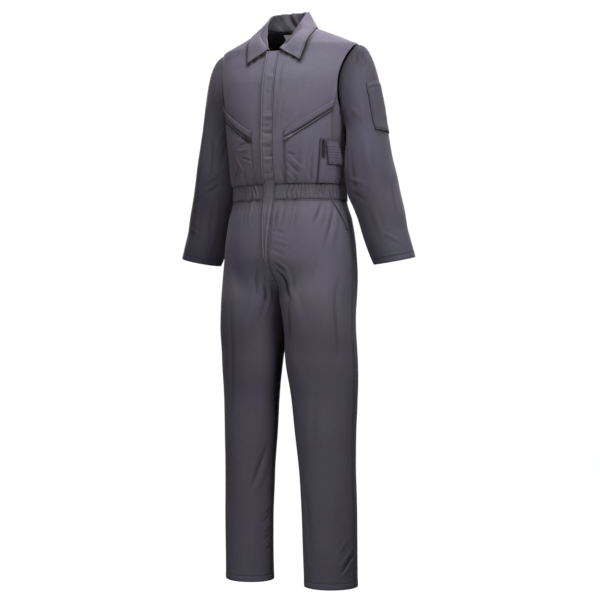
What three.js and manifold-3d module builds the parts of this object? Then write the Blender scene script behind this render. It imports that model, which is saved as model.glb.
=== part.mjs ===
// Boiler suit in its worn, hollow form, in millimetres.
// +Z is up, the front faces -Y, the wearer's left is +X. The origin is inside the neck,
// where the shoulders carry the garment.

import * as THREE from "three";
import Module from "manifold-3d";
import { mergeVertices } from "three/addons/utils/BufferGeometryUtils.js";

// Cloth
const CLOTH = 1.6;
const FLAP_CLOTH = 2.2;
const TAPE = 1.0;
const SEAM_GAP = 0.3;
const LAY = 0.7;
const CURVED_LAY = 1.0;

// Heights of the main seams
const NECK_TOP = 12;
const FRONT_NECK = 11;
const SHOULDER_TIP = -46;
const ARMHOLE_DEPTH = 194;
const BODICE_HEM = -427;
const BAND_HEM = -469;
const CROTCH = -728;
const RISE_BLEND = 112;
const LEG_HEM = -1527;

// Neck and armhole
const NECK_HALF = 74;
const NECK_CURVE = 0.6;
const ARMHOLE_SIDES = 20;
const ARMHOLE_BITE = { front: 31, back: 27, roundness: 0.9 };

// Gathers of the elastic waistband, in each quarter
const GATHERS_PER_QUARTER = 13;
const GATHER_DEPTH = 2.6;
const GATHER_STEPS = 4;
const BAND_PLAIN_ANGLE = 12;

// Half sections of the trunk: side, front and back half axes and the superellipse power
const TRUNK = [
  { z: 12, side: 74, front: 50, back: 46, power: 1.9 },
  { z: -4, side: 115, front: 64, back: 60, power: 1.85 },
  { z: -18, side: 148, front: 73, back: 72, power: 1.85 },
  { z: -32, side: 180, front: 79, back: 83, power: 1.9 },
  { z: -46, side: 209, front: 83, back: 92, power: 1.95 },
  { z: -64, side: 213, front: 88, back: 100, power: 2.0 },
  { z: -92, side: 213, front: 99, back: 110, power: 2.05 },
  { z: -148, side: 208, front: 116, back: 119, power: 2.2 },
  { z: -240, side: 186, front: 127, back: 122, power: 2.4 },
  { z: -300, side: 177, front: 128, back: 120, power: 2.4 },
  { z: -355, side: 172, front: 125, back: 116, power: 2.3 },
  { z: -408, side: 170, front: 119, back: 111, power: 2.2 },
  { z: -427, side: 166, front: 113, back: 105, power: 2.2 },
  { z: -469, side: 167, front: 114, back: 106, power: 2.2 },
  { z: -520, side: 181, front: 123, back: 119, power: 2.2 },
  { z: -600, side: 193, front: 129, back: 129, power: 2.2 },
  { z: -686, side: 197, front: 129, back: 131, power: 2.2 },
  { z: -728, side: 196, front: 125, back: 127, power: 2.2 },
];

// Leg rings: centre, half length and half width, powers on the inner and outer side, and turn
const LEG = [
  { z: -620, x: 98.4, y: -2, long: 98.2, wide: 122, inner: 3.2, outer: 2.1, turn: 0 },
  { z: -728, x: 98.4, y: -8, long: 98.2, wide: 111, inner: 3.0, outer: 2.1, turn: 0 },
  { z: -800, x: 101.5, y: -14, long: 98, wide: 101, inner: 2.5, outer: 2.0, turn: 10 },
  { z: -898, x: 107.4, y: -20, long: 100, wide: 81, inner: 2.0, outer: 2.0, turn: 26 },
  { z: -1021, x: 115.3, y: -13, long: 90.5, wide: 73, inner: 2.0, outer: 2.0, turn: 28 },
  { z: -1105, x: 118.4, y: -12, long: 84.5, wide: 71, inner: 2.0, outer: 2.0, turn: 28 },
  { z: -1230, x: 123.8, y: -9, long: 77.5, wide: 67, inner: 2.0, outer: 2.0, turn: 28 },
  { z: -1356, x: 127.6, y: -7, long: 76, wide: 64, inner: 2.0, outer: 2.0, turn: 28 },
  { z: -1527, x: 128.8, y: -1, long: 74, wide: 66, inner: 2.0, outer: 2.0, turn: 28 },
];

// Columns of a leg panel, closer together towards the inner leg
const LEG_COLUMNS = 9;
const LEG_SPREAD = 1.3;

// Sleeve rings below the cap: centre, half axes, power, and rise towards the outside
const SLEEVE = [
  { z: -273, x: 227.5, y: 18, out: 44, deep: 76, power: 2.5, rise: 0.32 },
  { z: -355, x: 232, y: 18, out: 56, deep: 80, power: 2.5, rise: 0.28 },
  { z: -437, x: 243, y: 25, out: 63.5, deep: 84, power: 2.3, rise: 0.25 },
  { z: -478, x: 257, y: 26, out: 60.5, deep: 78, power: 2.2, rise: 0.23 },
  { z: -519, x: 270, y: 27, out: 59.5, deep: 73, power: 2.1, rise: 0.22 },
  { z: -560, x: 280, y: 27, out: 59, deep: 69, power: 2.0, rise: 0.22 },
  { z: -601, x: 294, y: 27, out: 58, deep: 65, power: 2.0, rise: 0.22 },
  { z: -633, x: 306, y: 27, out: 55, deep: 60, power: 2.0, rise: 0.22 },
];
const CAP_STEPS = [0, 0.12, 0.26, 0.42, 0.6, 0.8];
const SLEEVE_SEAM = 36;
const SLEEVE_HEIGHTS = [-273, -314, -355, -396, -437, -478, -519, -560, -601, -633];
const CAP_LEAVE = { topAngle: 12, bottomAngle: 72, topReach: 54, bottomReach: 12 };
const CAP_ARRIVE = { topReach: 104, bottomReach: 14, outward: 0.13 };

// Collar, from the centre back (along 0) to its front end (along 1), on one side
const COLLAR = [
  { along: 0, rollX: 0, rollY: 46, rollZ: 62, edgeX: 0, edgeY: 60, edgeZ: 6 },
  { along: 0.18, rollX: 30, rollY: 38, rollZ: 61, edgeX: 44, edgeY: 52, edgeZ: 6 },
  { along: 0.36, rollX: 50, rollY: 17, rollZ: 57, edgeX: 77, edgeY: 30, edgeZ: 8 },
  { along: 0.52, rollX: 57, rollY: -6, rollZ: 48, edgeX: 88, edgeY: -6, edgeZ: 9 },
  { along: 0.68, rollX: 55, rollY: -30, rollZ: 28, edgeX: 98, edgeY: -44, edgeZ: -7 },
  { along: 0.84, rollX: 43, rollY: -58, rollZ: -12, edgeX: 93, edgeY: -72, edgeZ: -37 },
  { along: 1, rollX: 19, rollY: -92, rollZ: -56, edgeX: 82, edgeY: -98, edgeZ: -91 },
];
const COLLAR_FRONT_HALF = 17;
const COLLAR_SIDE_AT = 0.45;
const COLLAR_HALF_STEPS = 11;
const COLLAR_FOLD = 3;
const COLLAR_CLEAR = 5.5;
const COLLAR_SEAM = { backUp: 0.6, frontUp: 4.2, inward: 1.3 };

// Storm flap over the front closure, from the neck to the end of the fly
const FLAP = [
  { z: -62, right: -24, left: 13 },
  { z: -130, right: -21, left: 16 },
  { z: -427, right: -20, left: 16 },
  { z: -480, right: -20, left: 15 },
  { z: -560, right: -17, left: 12 },
  { z: -625, right: -12, left: 8 },
  { z: -654, right: -6, left: 5 },
];
const FLAP_ROWS = 34;

// Chest pockets: inner and outer ends of the slanted welt's top line
const CHEST = { innerX: 50, innerZ: -280, outerX: 176, outerZ: -196, lowAngle: 74 };
const WELT_HEIGHT = 24;
const TAPE_HEIGHT = 11;
const STRIP_GAP = 0.4;
const SLIDER_AT = 0.045;
const PATCH_ABOVE_HEM = 2;

// Phone pocket on the wearer's left
const PHONE = { topX: 139, bottomX: 126, topZ: -306, sideAngle: 73 };
const PHONE_FLAP = { innerX: 149, outerX: 168, topZ: -316, bottomZ: -376 };
const STRAP = { fromAngle: 80, toAngle: 86, topZ: -324, bottomZ: -372, bulge: 3 };

// Pen pocket on the left sleeve, round the sleeve in degrees and down the cap
const PEN = { from: -40, to: 22, lean: 13, top: 0.62, bottom: 1.26 };

// Slanted trouser pocket mouths
const SIDE_POCKET = { topX: 160, topZ: -474, bottomAngle: -5, bottomZ: -552, width: 12 };

// Blank tab inside the back of the neck
const TAB = { x: -20, halfWidth: 15, top: 8, bottom: -22 };

// Zip slider and pull tab
const SLIDER = { length: 10, width: 7.6, height: 2.6, bridgeWidth: 2.2, wall: 1 };
const WINDOW = { length: 3.6, height: 2.8 };
const PULL = { length: 21, width: 6, thickness: 1.2, eyeWidth: 3.2, eyeLength: 3.8, bar: 1.2 };
const PULL_TILT = 5;

const COLOURS = {
  cloth: 0x5d5a65,
  band: 0x55525c,
  tape: 0x34323a,
  metal: 0xb9bcc2,
  tab: 0xe8e8ea,
};

const material = (color, roughness, metalness = 0) =>
  new THREE.MeshStandardMaterial({ color, roughness, metalness });
const clothFinish = material(COLOURS.cloth, 0.9);
const bandFinish = material(COLOURS.band, 0.9);
const tapeFinish = material(COLOURS.tape, 0.8);
const metalFinish = material(COLOURS.metal, 0.35, 0.9);
const tabFinish = material(COLOURS.tab, 0.8);

const radians = THREE.MathUtils.degToRad;
const lerp = THREE.MathUtils.lerp;
const steps = (from, to, count) =>
  Array.from({ length: count + 1 }, (_, k) => from + ((to - from) * k) / count);
const signedPower = (value, power) => Math.sign(value) * Math.abs(value) ** power;

// A smooth value of one column of a table, whose rows run along the key in either direction
function along(table, at, column, key = "z") {
  const rows = table[0][key] < table[1][key] ? table : [...table].reverse();
  const last = rows.length - 1;
  if (at <= rows[0][key]) return rows[0][column];
  if (at >= rows[last][key]) return rows[last][column];
  const k = rows.findIndex((row) => row[key] > at) - 1;
  const slope = (i) => (rows[i + 1][column] - rows[i][column]) / (rows[i + 1][key] - rows[i][key]);
  const tangent = (i) => {
    if (i === 0 || i === last) return slope(i === 0 ? 0 : last - 1);
    const before = slope(i - 1);
    const after = slope(i);
    return before * after <= 0 ? 0 : (2 * before * after) / (before + after);
  };
  const span = rows[k + 1][key] - rows[k][key];
  const t = (at - rows[k][key]) / span;
  return (
    rows[k][column] * (2 * t ** 3 - 3 * t ** 2 + 1) +
    rows[k + 1][column] * (3 * t ** 2 - 2 * t ** 3) +
    span * tangent(k) * (t ** 3 - 2 * t ** 2 + t) +
    span * tangent(k + 1) * (t ** 3 - t ** 2)
  );
}

// Trunk: angle 0 is the centre front, 90 the left side, 180 the centre back
function trunkPoint(angle, z) {
  const power = 2 / along(TRUNK, z, "power");
  const forward = Math.cos(radians(angle));
  const depth = along(TRUNK, z, forward > 0 ? "front" : "back");
  const x = along(TRUNK, z, "side") * signedPower(Math.sin(radians(angle)), power);
  return new THREE.Vector3(x, -depth * signedPower(forward, power), z);
}

// The angle at which the front of the trunk has this x
function angleAt(x, z) {
  const share = Math.min(1, Math.abs(x) / along(TRUNK, z, "side"));
  const angle = Math.asin(share ** (along(TRUNK, z, "power") / 2));
  return Math.sign(x) * THREE.MathUtils.radToDeg(angle);
}

// Leg: angle -180 is the inner leg, -90 the front, 0 the side seam, 90 the back
function legPoint(angle, z) {
  const turn = along(LEG, z, "turn");
  const round = radians(angle - turn);
  const power = 2 / along(LEG, z, Math.cos(round) < 0 ? "inner" : "outer");
  const ring = new THREE.Vector3(
    signedPower(Math.cos(round), power) * along(LEG, z, "long"),
    signedPower(Math.sin(round), power) * along(LEG, z, "wide"),
    z,
  ).applyAxisAngle(new THREE.Vector3(0, 0, 1), radians(turn));
  ring.x += along(LEG, z, "x");
  ring.y += along(LEG, z, "y");
  const rise = THREE.MathUtils.clamp((z - CROTCH) / RISE_BLEND, 0, 1);
  return ring.lerp(trunkPoint((angle + 180) / 2, z), Math.sin(radians(90 * rise)));
}

// Front of the whole garment, bodice and trousers, at trunk angles
function frontPoint(angle, z) {
  if (z > BAND_HEM) return trunkPoint(angle, z);
  const point = legPoint(2 * Math.abs(angle) - 180, z);
  if (angle < 0) point.x = -point.x;
  return point;
}

// Armhole: the height of its ring at this angle, 0 at the shoulder tip and 180 under the arm
const armholeHalf = ARMHOLE_DEPTH / 2;
const armholeHeight = (angle) => SHOULDER_TIP - armholeHalf * (1 - Math.cos(radians(angle)));

// How many degrees the armhole bites into the front or back at this height
function bite(z, side) {
  const level = (z - SHOULDER_TIP + armholeHalf) / armholeHalf;
  const open = Math.max(0, 1 - level * level);
  return ARMHOLE_BITE[side] * open ** (ARMHOLE_BITE.roundness / 2);
}

function armholePoint(angle) {
  const z = armholeHeight(angle);
  const behind = angle % 360 < 180;
  return trunkPoint(behind ? 90 + bite(z, "back") : 90 - bite(z, "front"), z);
}

function sleeveRing(angle, z) {
  const power = 2 / along(SLEEVE, z, "power");
  const out = along(SLEEVE, z, "out") * signedPower(Math.cos(radians(angle)), power);
  const deep = along(SLEEVE, z, "deep") * signedPower(Math.sin(radians(angle)), power);
  const centre = new THREE.Vector3(along(SLEEVE, z, "x"), along(SLEEVE, z, "y"), z);
  return centre.add(new THREE.Vector3(out, deep, out * along(SLEEVE, z, "rise")));
}

// Sleeve: down 0 to 1 is the cap, past 1 the arm, in hundreds of millimetres
function sleevePoint(angle, down) {
  if (down > 1) return sleeveRing(angle, SLEEVE_HEIGHTS[0] - (down - 1) * 100);
  const under = (1 - Math.cos(radians(angle))) / 2;
  const start = armholePoint(((angle % 360) + 360) % 360);
  const end = sleeveRing(angle, SLEEVE_HEIGHTS[0]);
  const fall = radians(lerp(CAP_LEAVE.topAngle, CAP_LEAVE.bottomAngle, under));
  const leave = new THREE.Vector3(Math.cos(fall), 0, -Math.sin(fall));
  leave.multiplyScalar(lerp(CAP_LEAVE.topReach, CAP_LEAVE.bottomReach, under));
  const arrive = new THREE.Vector3(CAP_ARRIVE.outward, 0, -1);
  arrive.multiplyScalar(lerp(CAP_ARRIVE.topReach, CAP_ARRIVE.bottomReach, under));
  const curve = new THREE.CubicBezierCurve3(
    start, start.clone().add(leave), end.clone().sub(arrive), end);
  return curve.getPoint(down);
}

// Outward normal of a surface whose first value runs round and second downwards
function surfaceNormal(surface, round, down, roundStep, downStep) {
  const around = surface(round + roundStep, down).sub(surface(round - roundStep, down));
  const below = surface(round, down + downStep).sub(surface(round, down - downStep));
  return below.cross(around).normalize();
}
const trunkNormal = (angle, z) => surfaceNormal(trunkPoint, angle, z, 0.6, -1);
const frontNormal = (angle, z) => surfaceNormal(frontPoint, angle, z, 0.6, -1);
const legNormal = (angle, z) => surfaceNormal(legPoint, angle, z, 0.6, -1);
const sleeveNormal = (angle, down) => surfaceNormal(sleevePoint, angle, down, 1, 0.01);

// Normals of a grid from its own points
function gridNormals(rows, closed) {
  const last = rows.length - 1;
  return rows.map((row, j) => row.map((_, i) => {
    const count = row.length;
    const next = closed ? (i + 1) % count : Math.min(i + 1, count - 1);
    const before = closed ? (i + count - 1) % count : Math.max(i - 1, 0);
    const around = row[next].clone().sub(row[before]);
    const below = rows[Math.min(j + 1, last)][i].clone().sub(rows[Math.max(j - 1, 0)][i]);
    return below.cross(around).normalize();
  }));
}

// Draws the edges of a grid in by half the seam gap
function trimmed(rows, closed = false) {
  const draw = (point, towards) => {
    const inward = towards.clone().sub(point).normalize().multiplyScalar(SEAM_GAP / 2);
    point.add(inward);
  };
  const last = rows.length - 1;
  if (!closed) {
    for (const row of rows) {
      draw(row[0], row[1]);
      draw(row[row.length - 1], row[row.length - 2]);
    }
  }
  rows[0].forEach((point, i) => draw(point, rows[1][i]));
  rows[last].forEach((point, i) => draw(point, rows[last - 1][i]));
  return rows;
}

// A cloth wall whose outer face is the grid, with its thickness behind it. The diagonals of its
// facets turn the other way from column mirrorAt on, so a whole piece can be the same on both sides.
function wall(rows, normals, { closed = false, thickness = CLOTH, mirrorAt = Infinity } = {}) {
  const rowCount = rows.length;
  const columns = rows[0].length;
  const inner = rows.map((row, j) => row.map((point, i) =>
    point.clone().addScaledVector(normals[j][i], -thickness)));
  const positions = [...rows, ...inner].flat().flatMap((point) => point.toArray());
  const outside = (j, i) => j * columns + (i % columns);
  const inside = (j, i) => (rowCount + j) * columns + (i % columns);
  const index = [];
  let turned = false;
  const quad = (a, b, c, d) => index.push(...(turned ? [b, c, d, b, d, a] : [a, b, c, a, c, d]));
  const spans = closed ? columns : columns - 1;
  for (let i = 0; i < spans; i += 1) {
    turned = i >= mirrorAt;
    for (let j = 0; j < rowCount - 1; j += 1) {
      quad(outside(j, i), outside(j + 1, i), outside(j + 1, i + 1), outside(j, i + 1));
      quad(inside(j, i), inside(j, i + 1), inside(j + 1, i + 1), inside(j + 1, i));
    }
    const end = rowCount - 1;
    quad(outside(0, i), outside(0, i + 1), inside(0, i + 1), inside(0, i));
    quad(outside(end, i), inside(end, i), inside(end, i + 1), outside(end, i + 1));
  }
  for (let j = 0; j < rowCount - 1 && !closed; j += 1) {
    const edge = columns - 1;
    quad(outside(j, 0), inside(j, 0), inside(j + 1, 0), outside(j + 1, 0));
    quad(outside(j, edge), outside(j + 1, edge), inside(j + 1, edge), inside(j, edge));
  }
  const geometry = new THREE.BufferGeometry();
  geometry.setAttribute("position", new THREE.Float32BufferAttribute(positions, 3));
  geometry.setIndex(index);
  return geometry;
}

// The same piece for the other side of the garment
function mirrored(geometry) {
  const other = geometry.clone();
  const position = other.getAttribute("position");
  for (let k = 0; k < position.count; k += 1) position.setX(k, -position.getX(k));
  const index = other.getIndex();
  for (let k = 0; k < index.count; k += 3) {
    const second = index.getX(k + 1);
    index.setX(k + 1, index.getX(k + 2));
    index.setX(k + 2, second);
  }
  return other;
}

const suit = new THREE.Group();

function add(name, geometry, finish) {
  geometry.computeVertexNormals();
  const mesh = new THREE.Mesh(geometry, finish);
  mesh.name = name;
  suit.add(mesh);
  return mesh;
}

function addPair(name, geometry, finish) {
  const right = mirrored(geometry);
  add(`${name}_left`, geometry, finish);
  add(`${name}_right`, right, finish);
}

// Rows of a panel from a list of heights and the angles where each row starts and ends
function panel(surface, normal, heights, limits, columns, spread = (t) => t) {
  const angles = heights.map((z) => steps(0, 1, columns).map((t) => lerp(...limits(z), spread(t))));
  const rows = angles.map((row, j) => row.map((angle) => surface(angle, heights[j])));
  const normals = angles.map((row, j) => row.map((angle) => normal(angle, heights[j])));
  return wall(trimmed(rows), normals);
}

// A piece sewn on a surface: its corners in the surface's own two values, lifted off it
function sewnOn(surface, normal, { start, end, columns, rows, lift = LAY, thickness = CLOTH }) {
  const grid = steps(0, 1, rows).map((t) => {
    const from = start(t);
    const to = end(t);
    return steps(0, 1, columns).map((s) => [lerp(from[0], to[0], s), lerp(from[1], to[1], s), s, t]);
  });
  const normals = grid.map((row) => row.map(([round, down]) => normal(round, down)));
  const height = typeof lift === "function" ? lift : () => lift;
  const face = grid.map((row, j) => row.map(([round, down, s, t], i) =>
    surface(round, down).addScaledVector(normals[j][i], height(s, t) + thickness)));
  return wall(face, normals, { thickness });
}

// Bodice
const armholeLevels = steps(0, 180, ARMHOLE_SIDES / 2).map(armholeHeight);
const frontNeckPit = armholeLevels[2];
const lowBodice = [-270, -310, -350, -385, -408, BODICE_HEM];
const shoulderLevels = [FRONT_NECK, 4, -6, -18, -32];
const frontLevels = [...shoulderLevels, ...armholeLevels, ...lowBodice];

// Where the front neckline crosses this height
function neckAngle(z) {
  if (z <= frontNeckPit) return 0;
  const share = (z - frontNeckPit) / (NECK_TOP - frontNeckPit);
  return angleAt(NECK_HALF * share ** NECK_CURVE, z);
}

addPair("front", panel(trunkPoint, trunkNormal, frontLevels,
  (z) => [neckAngle(z), 90 - bite(z, "front")], 10), clothFinish);
add("back", panel(trunkPoint, trunkNormal, [NECK_TOP, ...frontLevels],
  (z) => [90 + bite(z, "back"), 270 - bite(z, "back")], 20), clothFinish);

// Sleeves, each with a front and a back half between the outer back seam and the inner front seam
const sleeveDowns = [...CAP_STEPS, ...SLEEVE_HEIGHTS.map((z) => 1 + (SLEEVE_HEIGHTS[0] - z) / 100)];
function sleeveHalf(from, to) {
  const angles = steps(from, to, ARMHOLE_SIDES / 2);
  const rows = sleeveDowns.map((down) => angles.map((angle) => sleevePoint(angle, down)));
  const normals = sleeveDowns.map((down) => angles.map((angle) => sleeveNormal(angle, down)));
  return wall(trimmed(rows), normals);
}
addPair("sleeve_front", sleeveHalf(SLEEVE_SEAM - 180, SLEEVE_SEAM), clothFinish);
addPair("sleeve_back", sleeveHalf(SLEEVE_SEAM, SLEEVE_SEAM + 180), clothFinish);

// Elastic waistband
function bandPoint(angle, z) {
  const plain = THREE.MathUtils.smoothstep(Math.abs(angle), BAND_PLAIN_ANGLE - 4, BAND_PLAIN_ANGLE + 4);
  const wave = Math.cos(radians(angle * 4 * GATHERS_PER_QUARTER));
  return trunkPoint(angle, z).addScaledVector(trunkNormal(angle, z), GATHER_DEPTH * plain * wave);
}
const bandNormal = (angle, z) => surfaceNormal(bandPoint, angle, z, 0.3, -1);
const bandSteps = GATHERS_PER_QUARTER * GATHER_STEPS;
addPair("waistband", panel(bandPoint, bandNormal, [BODICE_HEM, BAND_HEM],
  () => [0, 90], bandSteps), bandFinish);
add("waistband_back", panel(bandPoint, bandNormal, [BODICE_HEM, BAND_HEM],
  () => [90, 270], 2 * bandSteps), bandFinish);

// Trouser panels
const legLevels = [BAND_HEM, -500, -540, -580, -616, -635, -654, -673, -692, -710, CROTCH, -752,
  -790, -840, -898, -955, -1021, -1105, -1180, -1260, -1356, -1445, LEG_HEM];
const closerInside = (t) => t ** LEG_SPREAD;
addPair("leg_front", panel(legPoint, legNormal, legLevels, () => [-180, 0], LEG_COLUMNS,
  closerInside), clothFinish);
addPair("leg_back", panel(legPoint, legNormal, legLevels, () => [0, 180], LEG_COLUMNS,
  (t) => 1 - closerInside(1 - t)), clothFinish);

// Collar
function collarBase(share) {
  if (share <= COLLAR_SIDE_AT) return trunkPoint(180 - (90 * share) / COLLAR_SIDE_AT, NECK_TOP);
  const t = (share - COLLAR_SIDE_AT) / (1 - COLLAR_SIDE_AT);
  const x = lerp(NECK_HALF, COLLAR_FRONT_HALF, t ** 1.5);
  const z = frontNeckPit + (NECK_TOP - frontNeckPit) * (x / NECK_HALF) ** (1 / NECK_CURVE);
  return trunkPoint(angleAt(x, z), z);
}

// Raises a point until it is clear of the shoulders and chest
function clearOfTrunk(point, clear) {
  const raised = point.clone();
  const inside = () => {
    const depth = along(TRUNK, raised.z, raised.y < 0 ? "front" : "back") + clear;
    const power = along(TRUNK, raised.z, "power");
    const side = along(TRUNK, raised.z, "side") + clear;
    return (Math.abs(raised.x) / side) ** power + (Math.abs(raised.y) / depth) ** power < 1;
  };
  while (raised.z < NECK_TOP && inside()) raised.z += 0.5;
  return raised;
}

// One column of the collar, from the neck seam over the fold to the outer edge
function collarColumn(share) {
  const read = (column) => along(COLLAR, share, column, "along");
  const base = collarBase(share);
  const roll = new THREE.Vector3(read("rollX"), read("rollY"), read("rollZ"));
  const edge = new THREE.Vector3(read("edgeX"), read("edgeY"), read("edgeZ"));
  const out = new THREE.Vector3(edge.x - roll.x, edge.y - roll.y, 0).normalize();
  const up = new THREE.Vector3(0, 0, 1);
  const inward = new THREE.Vector3(-base.x, -base.y, 0).normalize();
  base.addScaledVector(up, lerp(COLLAR_SEAM.backUp, COLLAR_SEAM.frontUp, share));
  base.addScaledVector(inward, COLLAR_SEAM.inward);
  const rollIn = roll.clone().addScaledVector(out, -COLLAR_FOLD);
  const rollOut = roll.clone().addScaledVector(out, COLLAR_FOLD);
  const fall = (t) => clearOfTrunk(rollOut.clone().lerp(edge, t), COLLAR_CLEAR);
  const top = roll.clone().addScaledVector(up, COLLAR_FOLD);
  return [base, base.clone().lerp(rollIn, 0.5), rollIn, top, rollOut, fall(0.33), fall(0.67), fall(1)];
}
const collarColumns = steps(-1, 1, 2 * COLLAR_HALF_STEPS).map((share) => {
  const column = collarColumn(Math.abs(share));
  if (share > 0) column.forEach((point) => { point.x = -point.x; });
  return column;
});
const collarRows = collarColumns[0].map((_, j) => collarColumns.map((column) => column[j]));
add("collar", wall(collarRows, gridNormals(collarRows, false), { mirrorAt: COLLAR_HALF_STEPS }),
  clothFinish);

// Storm flap
function flapEdge(t, side) {
  const z = lerp(FLAP[0].z, FLAP[FLAP.length - 1].z, t);
  return [angleAt(along(FLAP, z, side), z), z];
}
add("storm_flap", sewnOn(frontPoint, frontNormal, {
  start: (t) => flapEdge(t, "right"),
  end: (t) => flapEdge(t, "left"),
  columns: 3,
  rows: FLAP_ROWS,
  lift: CURVED_LAY,
  thickness: FLAP_CLOTH,
}), clothFinish);

// Chest pockets
const chestInner = angleAt(CHEST.innerX, CHEST.innerZ);
const chestOuter = angleAt(CHEST.outerX, CHEST.outerZ);
function chestLine(share, below) {
  return [lerp(chestInner, chestOuter, share), lerp(CHEST.innerZ, CHEST.outerZ, share) - below];
}
const tapeTop = WELT_HEIGHT + STRIP_GAP;
const patchTop = tapeTop + TAPE_HEIGHT + STRIP_GAP;

// A strip that follows the slanted top line, between two distances below it
function chestStrip(top, bottom, thickness, rows = 1, columns = 8) {
  const surface = (share, below) => trunkPoint(...chestLine(share, below));
  const normal = (share, below) => trunkNormal(...chestLine(share, below));
  return sewnOn(surface, normal, {
    start: (t) => [0, lerp(top, bottom, t)],
    end: (t) => [1, lerp(top, bottom, t)],
    columns,
    rows,
    thickness,
  });
}
addPair("chest_welt", chestStrip(0, WELT_HEIGHT, CLOTH, 2), clothFinish);
addPair("zip_tape", chestStrip(tapeTop, tapeTop + TAPE_HEIGHT, TAPE), tapeFinish);

// The patch below the zip reaches the waist seam and spreads towards the side
function chestPatchPoint(share, t) {
  const [angle, top] = chestLine(share, patchTop);
  const z = lerp(top, BODICE_HEM + PATCH_ABOVE_HEM, t);
  const inner = angleAt(CHEST.innerX, z) - angleAt(CHEST.innerX, top);
  const spread = t * (CHEST.lowAngle - chestOuter);
  return [angle + lerp(inner, spread, share), z];
}
addPair("chest_pocket", sewnOn(
  (share, t) => trunkPoint(...chestPatchPoint(share, t)),
  (share, t) => trunkNormal(...chestPatchPoint(share, t)),
  { start: (t) => [0, t], end: (t) => [1, t], columns: 8, rows: 9, lift: CURVED_LAY },
), clothFinish);

// Phone pocket, its flap and the strap loop at the side
const onPatch = CURVED_LAY + LAY + CLOTH;
const phoneHeights = (t) => lerp(PHONE.topZ, BODICE_HEM + PATCH_ABOVE_HEM, t);
add("phone_pocket", sewnOn(trunkPoint, trunkNormal, {
  start: (t) => [angleAt(lerp(PHONE.topX, PHONE.bottomX, t), phoneHeights(t)), phoneHeights(t)],
  end: (t) => [PHONE.sideAngle, phoneHeights(t)],
  columns: 5,
  rows: 6,
  lift: onPatch,
}), clothFinish);
const phoneFlapHeights = (t) => lerp(PHONE_FLAP.topZ, PHONE_FLAP.bottomZ, t);
add("phone_flap", sewnOn(trunkPoint, trunkNormal, {
  start: (t) => [angleAt(PHONE_FLAP.innerX, phoneFlapHeights(t)), phoneFlapHeights(t)],
  end: (t) => [angleAt(PHONE_FLAP.outerX, phoneFlapHeights(t)), phoneFlapHeights(t)],
  columns: 4,
  rows: 3,
  lift: onPatch + LAY + CLOTH,
}), clothFinish);
const strapHeights = (t) => lerp(STRAP.topZ, STRAP.bottomZ, t);
add("strap_loop", sewnOn(trunkPoint, trunkNormal, {
  start: (t) => [STRAP.fromAngle, strapHeights(t)],
  end: (t) => [STRAP.toAngle, strapHeights(t)],
  columns: 1,
  rows: 6,
  lift: (s, t) => LAY + STRAP.bulge * Math.sin(Math.PI * t),
}), clothFinish);

// Pen pocket on the left sleeve
add("sleeve_pocket", sewnOn(sleevePoint, sleeveNormal, {
  start: (t) => [PEN.from + t * PEN.lean, lerp(PEN.top, PEN.bottom, t)],
  end: (t) => [PEN.to + t * PEN.lean, lerp(PEN.top, PEN.bottom, t)],
  columns: 5,
  rows: 5,
}), clothFinish);

// Slanted trouser pocket mouths
function sidePocketEdge(t, inward) {
  const z = lerp(SIDE_POCKET.topZ, SIDE_POCKET.bottomZ, t);
  const top = 2 * angleAt(SIDE_POCKET.topX, SIDE_POCKET.topZ) - 180;
  return [lerp(top, SIDE_POCKET.bottomAngle, t) - inward, z];
}
addPair("side_pocket", sewnOn(legPoint, legNormal, {
  start: (t) => sidePocketEdge(t, SIDE_POCKET.width / 1.6),
  end: (t) => sidePocketEdge(t, 0),
  columns: 2,
  rows: 6,
  lift: CURVED_LAY,
}), clothFinish);

// Blank tab on the inner face of the back
const tabHeights = (t) => lerp(TAB.top, TAB.bottom, t);
const tabAngle = (x, z) => 180 - angleAt(x, z);
add("neck_tab", sewnOn(trunkPoint, trunkNormal, {
  start: (t) => [tabAngle(TAB.x + TAB.halfWidth, tabHeights(t)), tabHeights(t)],
  end: (t) => [tabAngle(TAB.x - TAB.halfWidth, tabHeights(t)), tabHeights(t)],
  columns: 3,
  rows: 2,
  lift: -CLOTH - LAY - TAPE,
  thickness: TAPE,
}), tabFinish);

// Zip sliders and pull tabs, in their own frame: x along the zip, y across it, z off the cloth
const wasm = await Module();
wasm.setup();

function solidOf(geometry) {
  const bare = geometry.clone();
  bare.deleteAttribute("normal");
  bare.deleteAttribute("uv");
  const merged = mergeVertices(bare);
  const vertProperties = new Float32Array(merged.getAttribute("position").array);
  const triVerts = new Uint32Array(merged.getIndex().array);
  return new wasm.Manifold(new wasm.Mesh({ numProp: 3, vertProperties, triVerts }));
}

function geometryOf(solid) {
  const mesh = solid.getMesh();
  const geometry = new THREE.BufferGeometry();
  geometry.setAttribute("position", new THREE.Float32BufferAttribute(mesh.vertProperties, 3));
  geometry.setIndex([...mesh.triVerts]);
  return geometry;
}

function rectangle(x0, y0, x1, y1, target = new THREE.Shape()) {
  target.moveTo(x0, y0);
  target.lineTo(x1, y0);
  target.lineTo(x1, y1);
  target.lineTo(x0, y1);
  target.closePath();
  return target;
}

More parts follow.
